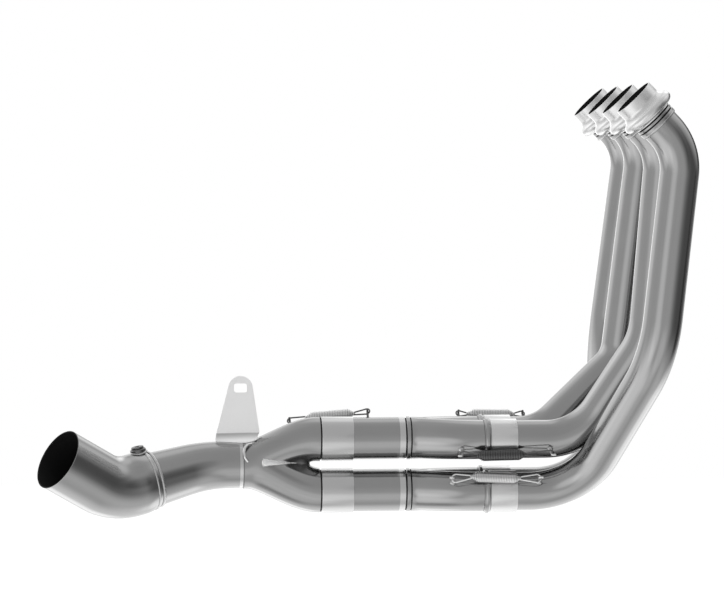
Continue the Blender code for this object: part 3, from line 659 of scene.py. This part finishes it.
rowCollector = {"length": 69.9, "spread": inletSpacing, "outlet": 20.4, "branch": 19.6, "wall": 1.2,
                "mergeShare": 0.95, "power": 1.1, "rise": 0.0, "fillet": (3.0, 3.0, 0.0, 1.0)}
yCollector = {"length": 76.0, "spread": rows["upper"] - rows["lower"], "outlet": 23.2, "branch": 21.8,
              "wall": 1.2, "mergeShare": 1.0, "power": 1.45, "rise": 0.8, "fillet": (3.0, 14.0, 46.0, 64.0),
              "seamRise": 4.5, "seamStart": 18.0, "bead": (17.0, 53.0), "beadWidth": 9.0, "beadFlat": 0.34}
collectorStart = rows["inlet"] - 70.5
rowMerge = Merge(rowCollector)
yMerge = Merge(yCollector)


def rowPlace(row):
    def place(x, height, across):
        return Vector((collectorStart + fitGap + x, height, row + across))
    return place


def yPlace(x, height, across):
    # the seam lies above the middle, while the top and bottom outlines stay
    fade = 1 - (x / yCollector["length"]) ** 2
    rise = yCollector["seamRise"] * ease(x / yCollector["seamStart"]) * fade
    fromMiddle = (height - yMerge.middle(x)) / (yMerge.offset(x) + yMerge.radius(x))
    return Vector((x, across, rowMiddle + height + rise * (1 - fromMiddle ** 2)))


def makeCollectors():
    for label in ("upper", "lower"):
        rowMerge.make(f"collector{label.title()}", rowPlace(rows[label]), f"collector_{label}")
    yMerge.make("yCollector", yPlace, "y_collector")
    start, end = yCollector["bead"]
    for side, sign in (("Near", -1), ("Far", 1)):
        points = []
        for k in range(120):
            x = start + (end - start) * k / 119
            points.append(yPlace(x, yMerge.middle(x), sign * (yMerge.notch(x, 0.0) - 0.2)))
        weldBead(f"seamWeld{side}", points, [Vector((0, sign, 0))] * len(points), yCollector["beadWidth"],
                 closed=False, flat=yCollector["beadFlat"], finish="seam", taper=0.7)


# Link tubes and the rings in front of them

linkRing = {"length": 6.0, "height": 0.6, "edge": 0.4, "groove": 1.0, "frontGroove": 0.8,
            "grooveDepth": 1.3, "polished": 6.0}


def makeLinks():
    for label in ("upper", "lower"):
        start = Vector((yCollector["length"] + 2 * fitGap + joint["stop"], 0.0, rows[label]))
        end = Vector((rows["linkFront"], 0.0, rows[label]))
        shine = end - forward * linkRing["polished"]
        openTube(f"linkTube{label.title()}", [(start, forward), (shine, forward), (end, forward)],
                 [joint["linkRadius"]] * 3, joint["linkWall"], (f"link_tube_{label}",), polished=(0, 1))
        outer = joint["linkRadius"] + linkRing["height"]
        bore = joint["linkRadius"] - joint["linkWall"]
        length = linkRing["length"] - fitGap
        edge = linkRing["edge"]
        low = outer - linkRing["grooveDepth"]
        rear = linkRing["groove"]
        front = length - linkRing["frontGroove"]
        profile = [(bore, 0.0), (low, 0.0), (low, rear), (outer - edge, rear), (outer, rear + edge),
                   (outer, front - edge), (outer - edge, front), (low, front), (low, length),
                   (bore, length)]
        # the ring's bore and grooves are painted near black as painted shade
        turnedPiece(f"linkRing{label.title()}", profile, axisFrame(end + forward * fitGap, forward),
                    (f"joint_ring_{label}",), "tube", insideOf=low + 0.1)
        weldRound(f"ringWeld{label.title()}", end + forward * (linkRing["length"] + 0.9), forward,
                  rowCollector["outlet"] + 0.2, 1.7, "dark")


# Mid pipe and outlet elbow

exitPipe = {"corners": ((-0.3, 0.0, 0.8), (-38.9, 0.0, 0.8), (-130.5, -31.0, -20.6), (-184.1, -62.0, 14.0)),
            "bends": (112.5, 52.3), "midShare": 0.455, "midEnd": 27.1, "midPower": 1.65, "elbowStep": 0.6,
            "elbowRadius": 31.0, "elbowFlare": 0.16, "seamShift": 5.2, "wall": 1.5}
exitPath = bentPath([Vector(corner) + up * rowMiddle for corner in exitPipe["corners"]],
                    exitPipe["bends"], 2.0)
exitLength = pathLengths(exitPath)[-1]
midLength = exitLength * exitPipe["midShare"]


def midRadius(share):
    first = yCollector["outlet"]
    return first + (exitPipe["midEnd"] - first) * share ** exitPipe["midPower"]


def elbowRadius(share):
    first = exitPipe["midEnd"] + exitPipe["elbowStep"]
    opened = min(1.0, share / exitPipe["elbowFlare"])
    return first + (exitPipe["elbowRadius"] - first) * sin(pi / 2 * opened)


def makeExitPipe():
    mid = evenPath(exitPath, 0.0, midLength, 2.0)
    openTube("midPipe", mid, [midRadius(k / (len(mid) - 1)) for k in range(len(mid))], exitPipe["wall"],
             ("mid_pipe",), sides=96, polished=(3, 0))
    elbow = evenPath(exitPath, midLength + fitGap, exitLength, 2.0)
    openTube("outletElbow", elbow, [elbowRadius(k / (len(elbow) - 1)) for k in range(len(elbow))],
             exitPipe["wall"], ("outlet_elbow",), sides=96)
    centre, axis = stationAt(exitPath, midLength - 0.6)
    weldRound("elbowWeld", centre, axis, exitPipe["midEnd"] + 0.4, 3.4)
    centre, axis = stationAt(exitPath, midLength + exitPipe["seamShift"])
    seamRadius = elbowRadius(exitPipe["seamShift"] / (exitLength - midLength))
    weldRound("elbowSeam", centre, axis, seamRadius + 0.1, 2.2)
    weldRound("outletWeld", Vector((-0.2, 0.0, rowMiddle + yCollector["rise"])), forward,
              yCollector["outlet"] + 0.2, 1.7, "dark")


# Sensor boss and plug

sensor = {"share": 0.08, "bossRadius": 7.8, "bossHeight": 3.6, "skirt": 3.0, "plugRadius": 5.0,
          "plugDepth": 2.6, "headRadius": 6.2, "headHeight": 2.2, "socketRadius": 2.5, "socketDepth": 1.4}


def bossFrame():
    length = exitLength - midLength - fitGap
    place, tangent = stationAt(exitPath, midLength + fitGap + length * sensor["share"])
    out = (up - tangent * tangent.z).normalized()
    return axisFrame(place + out * (elbowRadius(sensor["share"]) + fitGap), out, tangent)


def makeSensor():
    place = bossFrame()
    bore = sensor["plugRadius"] + fitGap
    radius = sensor["bossRadius"]
    height = sensor["bossHeight"]
    sides = 64
    pipe = elbowRadius(sensor["share"]) + fitGap

    def saddlePoint(reach, turn, lift, level=-99.0):
        across = reach * sin(turn)
        saddle = sqrt(pipe * pipe - across * across) - pipe + lift
        return place @ Vector((reach * cos(turn), across, max(level, saddle)))

    skin = Skin()
    profile = [(bore, -sensor["skirt"]), (radius, -sensor["skirt"]), (radius, height - 0.8),
               (radius - 0.8, height), (bore + 0.4, height), (bore, height - 0.4)]
    rings = []
    for reach, level in profile:
        rings.append([saddlePoint(reach, 2 * pi * k / sides, 0.2, level) for k in range(sides)])
    skin.grid(rings, closedAlong=True)
    skin.make("sensorBoss", ("dark",), "dark", ("sensor_boss",))
    top = sensor["headHeight"]
    plug = [(sensor["plugRadius"], -sensor["plugDepth"]), (sensor["plugRadius"], fitGap),
            (sensor["headRadius"], fitGap), (sensor["headRadius"], top), (sensor["socketRadius"], top),
            (sensor["socketRadius"], top - sensor["socketDepth"])]
    turnedPiece("sensorPlug", plug, place @ Matrix.Translation((0, 0, height)), ("sensor_plug",),
                "dark", "dark", sides=48, radius=0.9, solid=True)
    outs = []
    points = []
    for k in range(160):
        turn = 2 * pi * k / 160
        points.append(saddlePoint(radius + 0.5, turn, 0.3))
        outs.append((place.to_3x3() @ Vector((cos(turn), sin(turn), 0.7))).normalized())
    weldBead("bossWeld", points, outs, 2.2)


# Hanger plate

# the last two values set how dark the painted shade under the fold is and how far down it reaches
bracket = {"sheet": 2.5, "frontX": 16.0, "rearX": -27.0, "frontRise": 4.5, "rearRise": 8.5,
           "footRear": (-28.5, 4.0), "footFront": (12.0, 10.0), "topRadius": 12.2, "topX": -3.0,
           "topZ": 75.5, "lean": 10.0, "slotLength": 13.0, "slotHeight": 8.8, "slotCorner": 2.5,
           "paintedShade": 0.5, "paintedShadeEnd": 8.0}


def pipeSide(x, out=0.0):       # the height of the pipe's surface that the foot stands on
    if x >= 0:
        rise = sqrt(yMerge.radius(x) ** 2 - out ** 2)
        return yPlace(x, yMerge.middle(x) + yMerge.offset(x) + rise, -out).z
    place, _ = stationAt(exitPath, -x)
    return place.z + sqrt(midRadius(-x / midLength) ** 2 - out ** 2)


def evenOutline(points, count):
    closed = points + points[:1]
    lengths = runningLengths(closed)
    result = []
    k = 0
    for step in range(count):
        target = lengths[-1] * step / count
        while lengths[k + 1] < target:
            k += 1
        share = (target - lengths[k]) / (lengths[k + 1] - lengths[k])
        result.append(closed[k].lerp(closed[k + 1], share))
    return result


def slotReach(direction):
    half = Vector((bracket["slotLength"] / 2, bracket["slotHeight"] / 2))
    corner = bracket["slotCorner"]

    def inside(reach):
        point = Vector((abs(direction.x), abs(direction.y))) * reach
        beyond = point - half + Vector((corner, corner))
        corners = Vector((max(beyond.x, 0), max(beyond.y, 0))).length
        return corners + min(max(beyond.x, beyond.y), 0.0) < corner

    return lastInside(0.0, half.length, 30, inside)


def makeBracket():
    values = bracket
    lean = radians(values["lean"])
    half = values["sheet"] / 2
    foldFront = pipeSide(values["frontX"]) + values["frontRise"]
    foldRear = pipeSide(values["rearX"]) + values["rearRise"]
    (footRear, outRear), (footFront, outFront) = values["footRear"], values["footFront"]

    def footAt(x):
        share = max(0.0, min(1.0, (x - footRear) / (footFront - footRear)))
        out = outRear + (outFront - outRear) * share
        return out, pipeSide(footRear + (footFront - footRear) * share, out - half) + fitGap

    outline = [(values["frontX"], foldFront)]
    for k in range(25):
        angle = lean + (pi - 2 * lean) * k / 24
        outline.append((values["topX"] + values["topRadius"] * cos(angle),
                        values["topZ"] + values["topRadius"] * sin(angle)))
    outline.append((values["rearX"], foldRear))
    for k in range(9):
        x = footRear + (footFront - footRear) * k / 8
        outline.append((x, footAt(x)[1]))
    rim = evenOutline(softened(outline, 2.0), 200)
    centre = Vector((values["topX"], values["topZ"]))
    slope = (foldFront - foldRear) / (values["frontX"] - values["rearX"])

    def bend(x, z):     # how far the foot leans to the near side below the fold
        fold = foldRear + slope * (x - values["rearX"])
        out, foot = footAt(x)
        drop = max(0.0, (fold + 1.0 - z) / (fold + 1.0 - foot))
        return -out * (drop * drop / 0.5 if drop < 0.25 else drop - 0.125) / 0.875

    spokes = []
    for point in rim:
        direction = (point - centre).normalized()
        spokes.append((direction, slotReach(direction), (point - centre).length))

    def ringAcross(depth, share):
        # share 0 lies at the slot and 1 at the rim, and both faces stop just short of them
        ring = []
        for direction, start, end in spokes:
            reach = start + (end - start) * share
            if abs(depth) == half:
                reach = min(max(reach, start + 0.25), end - 0.35)
            spot = centre + direction * reach
            ring.append(Vector((spot.x, depth + bend(spot.x, spot.y), spot.y)))
        return ring

    shares = [k / 36 for k in range(37)]
    edge = half - 0.35
    rings = [ringAcross(-half, share) for share in shares]
    rings += [ringAcross(-edge, 1), ringAcross(edge, 1)]
    rings += [ringAcross(half, share) for share in shares[::-1]]
    rings += [ringAcross(edge, 0), ringAcross(-edge, 0)]
    skin = Skin()
    skin.grid(rings, closedAlong=True)

    def foldPaintedShade(graph):
        # painted shade in the fold's crease: darkest just under the fold, and lighter again towards the
        # foot's edge
        parts = graph.add("SeparateXYZ", None, {0: graph.add("TexCoord", output="Object")})
        foldLine = (parts * slope + (drawingOrigin.z + foldRear * mm
                                     - slope * (drawingOrigin.x + values["rearX"] * mm)))
        below = foldLine - parts.out("Z")
        return (1.0 - graph.between(below, -0.2 * mm, 0.8 * mm) * values["paintedShade"]
                + graph.between(below, 1.0 * mm, values["paintedShadeEnd"] * mm) * values["paintedShade"])

    # the plate's finish carries the painted shade under its fold
    finishes["sheet"] = metalFinish("sheet", "plain", 0.45, foldPaintedShade)
    skin.make("hangerPlate", ("sheet",), "sheet", ("mounting_bracket",), sharp=50)
    for side, sign in (("Near", -1), ("Far", 1)):
        points = []
        for k in range(100):
            x = footRear + 1.0 + (footFront - footRear - 2.0) * k / 99
            far = footAt(x)[0] - sign * (half + 0.2)
            points.append(Vector((x, -far, pipeSide(x, far) + 0.1)))
        outs = [Vector((0, sign * 0.7, 0.7))] * len(points)
        weldBead(f"footWeld{side}", points, outs, 2.6, closed=False)


# Springs and the hooks that they are stretched over

spring = {"body": 50.0, "radius": 5.6, "cone": 8.0, "tipRadius": 2.2, "wire": 0.8, "standoff": 8.4,
          "hookWire": 1.15, "hookOver": 2.6, "hookBend": 1.8, "hookTip": 4.0, "pitch": 1.66}
blob = {"radius": 2.7, "long": 1.25, "height": 2.1, "lump": 0.35}      # weld at a hook's foot
loopHalf = {1: 4.4, 2: 3.8, 3: 3.8, 4: 3.8, 5: 3.2, 6: 3.2}
loopRise = {3: (3.4, 1.6), 4: (1.0, 1.0), 5: (1.4, 1.6), 6: (1.0, 1.0)}
# Springs whose loops stand out from the tube, on hooks whose tips turn across
standing = tuple(loopRise)
# For each spring: behind the socket, ahead of the sleeve, the hooks' turns round the tube in degrees,
# the lifts of the body's rear and front ends, and its shift to the front
seats = {1: (31.0, 24.0, 58, 58, 4.4, 0.8, -1.0), 2: (23.0, 32.0, 117, 117, 2.6, 1.2, -6.0),
         3: (16.0, 22.0, -49, -49, 2.0, 0.6, 0.0), 4: (31.0, 24.0, -75, -75, 5.4, 1.4, -2.5),
         5: (28.0, 17.0, -50, -34, 3.0, 0.6, 1.5), 6: (20.0, 14.0, -90, -90, 2.4, 0.6, 0.0)}


def outward(angle):
    return Vector((0.0, -sin(radians(angle)), cos(radians(angle))))


def rearSeat(label, length, angle):
    out = outward(angle)
    if label <= 4:
        x = rowCollector["length"] - length
        centre = Vector((collectorStart + fitGap + x, -nearSide(label) * rowMerge.offset(x), rowOf(label)))
        return centre + out * rowMerge.radius(x), out
    x = yCollector["length"] - length
    height = yMerge.middle(x) + (1 if label == 5 else -1) * yMerge.offset(x)
    return yPlace(x, height + out.z * yMerge.radius(x), out.y * yMerge.radius(x)), out


def frontSeat(label, length, angle):
    out = outward(angle)
    if label <= 4:
        buried = joint["frontLength"] - joint["stop"] - fitGap
        centre, tangent = stationAt(primaryPath(label), buried + length)
        out = (out - tangent * out.dot(tangent)).normalized()
        return centre + out * tube["radius"], out
    x = yCollector["length"] + joint["rearLength"] + length
    return Vector((x, 0.0, rows["upper" if label == 5 else "lower"])) + out * joint["linkRadius"], out


def makeHook(end, label, seat, out, away, over, finish="wire"):
    name = f"{end}Hook{label}"
    away = (away - out * away.dot(out)).normalized()
    foot = seat + out * 0.2
    corner = seat + out * (spring["standoff"] + over)
    tip = corner + away * spring["hookTip"]
    stations = bentPath((foot, corner, tip), (spring["hookBend"],), 12)
    radii = [spring["hookWire"]] * len(stations)
    last, tangent = stations[-1]
    for step in (1, 2, 3):
        stations.append((last + tangent * 0.3 * step, tangent))
        radii.append(spring["hookWire"] * sqrt(1 - (step / 3.2) ** 2))
    skin = Skin()
    roundRod(skin, stations, radii, away.cross(out), 16)
    skin.make(name, (finish,), "wire", (f"hook_{end}_{label}",))
    blobs = Skin()
    across = away.cross(out)
    rings = []
    for k in range(9):
        level = pi / 2 * k / 8
        ring = []
        for step in range(20):
            turn = 2 * pi * step / 20
            lump = noise.noise(seat * 0.5 + Vector((cos(turn), sin(turn), level)) * 1.5)
            reach = blob["radius"] * cos(level) + blob["lump"] * lump
            ring.append(seat + (away * cos(turn) * blob["long"] + across * sin(turn)) * reach
                        + out * (blob["height"] * sin(level) - 0.4))
        rings.append(ring)
    blobs.closedRings(rings)
    blobs.make(name + "Weld", ("weld",), "wire", sharp=80)


def loopPoints(root, farEnd, across, along, half):
    bend = farEnd - along * half
    points = [root + across * (spring["tipRadius"] - spring["wire"])]
    for k in range(13):
        angle = pi * k / 12
        points.append(bend + across * half * cos(angle) + along * half * sin(angle))
    points.append(root - across * (spring["tipRadius"] - spring["wire"]))
    return points


def makeSpring(label):
    behind, ahead, rearAngle, frontAngle, rearLift, frontLift, shift = seats[label]
    rearFoot, rearOut = rearSeat(label, behind, rearAngle)
    frontFoot, frontOut = frontSeat(label, ahead, frontAngle)
    rearStem = rearFoot + rearOut * spring["standoff"]
    frontStem = frontFoot + frontOut * spring["standoff"]
    along = (frontStem - rearStem).normalized()
    if label in standing:
        tip = along.cross(rearOut)
        tip = tip if tip.y < 0 else -tip
        # the standing springs' hooks take the shaded wire finish: painted shade
        rearRise, frontRise = loopRise[label]
        makeHook("rear", label, rearFoot, rearOut, tip, rearRise, "shaded")
        makeHook("front", label, frontFoot, frontOut, tip, frontRise, "shaded")
        rearStem += rearOut * rearRise
        frontStem += frontOut * frontRise
    else:
        makeHook("rear", label, rearFoot, rearOut, -along, spring["hookOver"])
        makeHook("front", label, frontFoot, frontOut, along, spring["hookOver"])
    reach = spring["hookWire"] + fitGap + spring["wire"]
    rearEnd = rearStem - along * reach
    frontEnd = frontStem + along * reach
    middle = (rearFoot + rearOut * spring["standoff"] + frontFoot + frontOut * spring["standoff"]) / 2
    middle += along * shift
    bodyRear = middle - along * spring["body"] / 2 + rearOut * rearLift
    bodyFront = middle + along * spring["body"] / 2 + frontOut * frontLift
    along = (bodyFront - bodyRear).normalized()
    lift = (rearOut + frontOut).normalized()
    across = along.cross(lift).normalized()
    lift = across.cross(along)
    wire = spring["wire"]
    length = (bodyFront - bodyRear).length
    turns = length / spring["pitch"]
    wide = lift if label in standing else across
    half = loopHalf[label]
    points = loopPoints(bodyRear + along * 1.0, rearEnd, wide, (rearEnd - bodyRear).normalized(), half)
    steps = int(turns * 18)
    for k in range(steps + 1):
        at = length * k / steps
        edge = min(at, length - at)
        swell = (spring["radius"] - spring["tipRadius"]) * ease(edge / spring["cone"])
        radius = spring["tipRadius"] + swell - wire
        turn = 2 * pi * turns * k / steps + pi
        points.append(bodyRear + along * at + (across * cos(turn) + lift * sin(turn)) * radius)
    points += loopPoints(bodyFront - along * 1.0, frontEnd, wide, (frontEnd - bodyFront).normalized(), half)
    stations = []
    for k, point in enumerate(points):
        tangent = (points[min(k + 1, len(points) - 1)] - points[max(k - 1, 0)]).normalized()
        stations.append((point, tangent))
    skin = Skin()
    # the standing springs' end loops take the shaded wire finish: painted shade
    ends = 15 if label in standing else 0
    roundRod(skin, stations, [wire] * len(stations), lift, 8,
             lambda i: 1 if i < ends or i > len(stations) - 1 - ends else 0)
    finish = "shaded" if label == 2 else "wire"     # the one between the rows takes the shaded wire finish: painted shade
    skin.make(f"spring{label}", (finish, "shaded"), "wire", (f"spring_{label}",), sharp=60)


outletHook = {"rise": 0.75, "wire": 1.5,
              "bow": ((7.2, 30, 0.6), (3.2, 36, 2.4), (0.2, 47, 3.4),
                      (-0.8, 58, 3.6), (0.2, 69, 3.0), (3.2, 78, 0.6))}


def makeOutletHook():       # each corner of the bow: ahead of the outlet, turn round the pipe, distance out
    corners = []
    for x, angle, out in outletHook["bow"]:
        direction = outward(angle)
        radius = yMerge.radius(x) + outletHook["rise"] + out
        corners.append(yPlace(x, yMerge.middle(x) + direction.z * radius, direction.y * radius))
    stations = bentPath(corners, (6.0,) * (len(corners) - 2), 8)
    skin = Skin()
    roundRod(skin, stations, [outletHook["wire"]] * len(stations), forward, 16)
    skin.make("outletHook", ("wire",), "wire", ("outlet_hook",))


for cylinder in (1, 2, 3, 4):
    makePortSleeve(cylinder)
    makePrimary(cylinder)
print("port sleeves and primary tubes made")
makeSlipJoints()
makeCollectors()
makeLinks()
print("collectors, sleeves and link tubes made")
makeExitPipe()
makeSensor()
makeBracket()
print("mid pipe, elbow and bracket made")
for label in seats:
    makeSpring(label)
makeOutletHook()
print("springs and hooks made")


# Studio: plain light by direction, white behind the header for the camera

studio = {"fill": 0.71, "darkest": 0.03, "floorHeight": -0.30, "floorSize": 6.0, "floorGlow": 1.2,
          "floorGlowShare": 0.8, "lampPower": 15.0, "lampHeight": 2.2, "lampSize": 1.6}
# Soft round lights, and flags that take light away, all far off: degrees to the right of the camera,
# degrees up, half width in degrees, and strength. Another program fitted the fill and all but three of
# these rows to how bright the metal in the photo is, and the strengths were then scaled.
softLights = [
    (157, 30, 17, 0.90), (170, 20, 24, 0.60),
    (77, -2, 55, -0.56), (-180, -52, 55, 0.70), (147, 0, 36, -0.72), (-66, -33, 36, 0.70),
    (-146, 16, 36, 0.53), (122, -41, 24, 0.85), (0, 48, 55, -0.11), (-180, 10, 16, -0.19),
    (-84, -70, 16, -0.33), (34, 14, 24, -0.22), (110, -19, 24, -0.24), (-38, -8, 24, 0.47),
    (104, 33, 36, 0.39), (145, -19, 24, 0.84), (77, -49, 36, 0.29), (160, 57, 24, 0.40),
    (-123, 33, 36, 0.46), (-172, -6, 16, 0.75), (6, -30, 24, 0.29), (-168, -46, 16, 0.74),
    (-99, -19, 24, 0.46), (-18, -52, 24, 0.28), (180, -3, 12, 0.88)
]


def makeStudio():
    world = bpy.data.worlds.new("studio")
    bpy.context.scene.world = world
    world.use_nodes = True
    graph = Graph(world.node_tree)
    direction = graph.add("TexCoord", output="Generated")
    level = studio["fill"]
    for turn, height, width, strength in softLights:
        flat = cos(radians(height))
        axis = (sin(radians(turn)) * flat, -cos(radians(turn)) * flat, sin(radians(height)))
        facing = graph.add("VectorMath", {"operation": "DOT_PRODUCT"}, {0: direction, 1: axis},
                           output="Value")
        level = graph.between(facing, cos(radians(width)), 1.0) * strength + level
    level = level.math("MAXIMUM", studio["darkest"])
    light = graph.add("Background", None, {"Color": level, "Strength": 1.0})
    white = graph.add("Background", None, {"Color": (1, 1, 1, 1), "Strength": 1.0})
    # white for the camera alone, because metal that mirrors pure white loses its bands of shade
    seen = graph.add("LightPath", output="Is Camera Ray")
    graph.add("OutputWorld", None, {"Surface": graph.add("MixShader", None, {0: seen, 1: light, 2: white})})

    half = studio["floorSize"] / 2
    mesh = bpy.data.meshes.new("floor")
    corners = [(-half, -half), (half, -half), (half, half), (-half, half)]
    mesh.from_pydata([(x, y, studio["floorHeight"]) for x, y in corners], [], [(0, 1, 2, 3)])
    floor = bpy.data.objects.new("floor", mesh)
    addToScene(floor)
    floor.visible_glossy = False
    material = bpy.data.materials.new("paleFloor")
    material.use_nodes = True
    graph = Graph(material.node_tree)
    matte = graph.add("BsdfDiffuse", None, {"Color": (0.86, 0.86, 0.86, 1), "Roughness": 0.5})
    glow = graph.add("Emission", None, {"Color": (1, 1, 1, 1), "Strength": studio["floorGlow"]})
    share = graph.add("LightPath", output="Is Camera Ray") * studio["floorGlowShare"]
    surface = graph.add("MixShader", None, {0: share, 1: matte, 2: glow})
    graph.add("OutputMaterial", None, {"Surface": surface})
    mesh.materials.append(material)

    lamp = bpy.data.lights.new("softLamp", "AREA")
    lamp.shape = "DISK"
    lamp.size = studio["lampSize"]
    lamp.energy = studio["lampPower"]
    holder = bpy.data.objects.new("softLamp", lamp)
    holder.location = (0.0, -0.3, studio["lampHeight"])
    holder.visible_glossy = False
    addToScene(holder)


view = {"place": (-0.27756, -2.98312, 0.35892), "aim": (0.004424, 0.0, 0.212368), "focalPixels": 3000.0,
        "imageWidth": 724.0}


def makeCamera():
    lens = bpy.data.cameras.new("camera")
    lens.sensor_width = 36.0
    lens.lens = 36.0 * view["focalPixels"] / view["imageWidth"]
    lens.clip_end = 50.0
    holder = bpy.data.objects.new("camera", lens)
    holder.location = view["place"]
    look = Vector(view["aim"]) - Vector(view["place"])
    holder.rotation_euler = look.to_track_quat("-Z", "Y").to_euler()
    addToScene(holder)
    bpy.context.scene.camera = holder


makeStudio()
makeCamera()
bpy.context.scene.view_settings.view_transform = "Standard"
print("studio and camera ready")
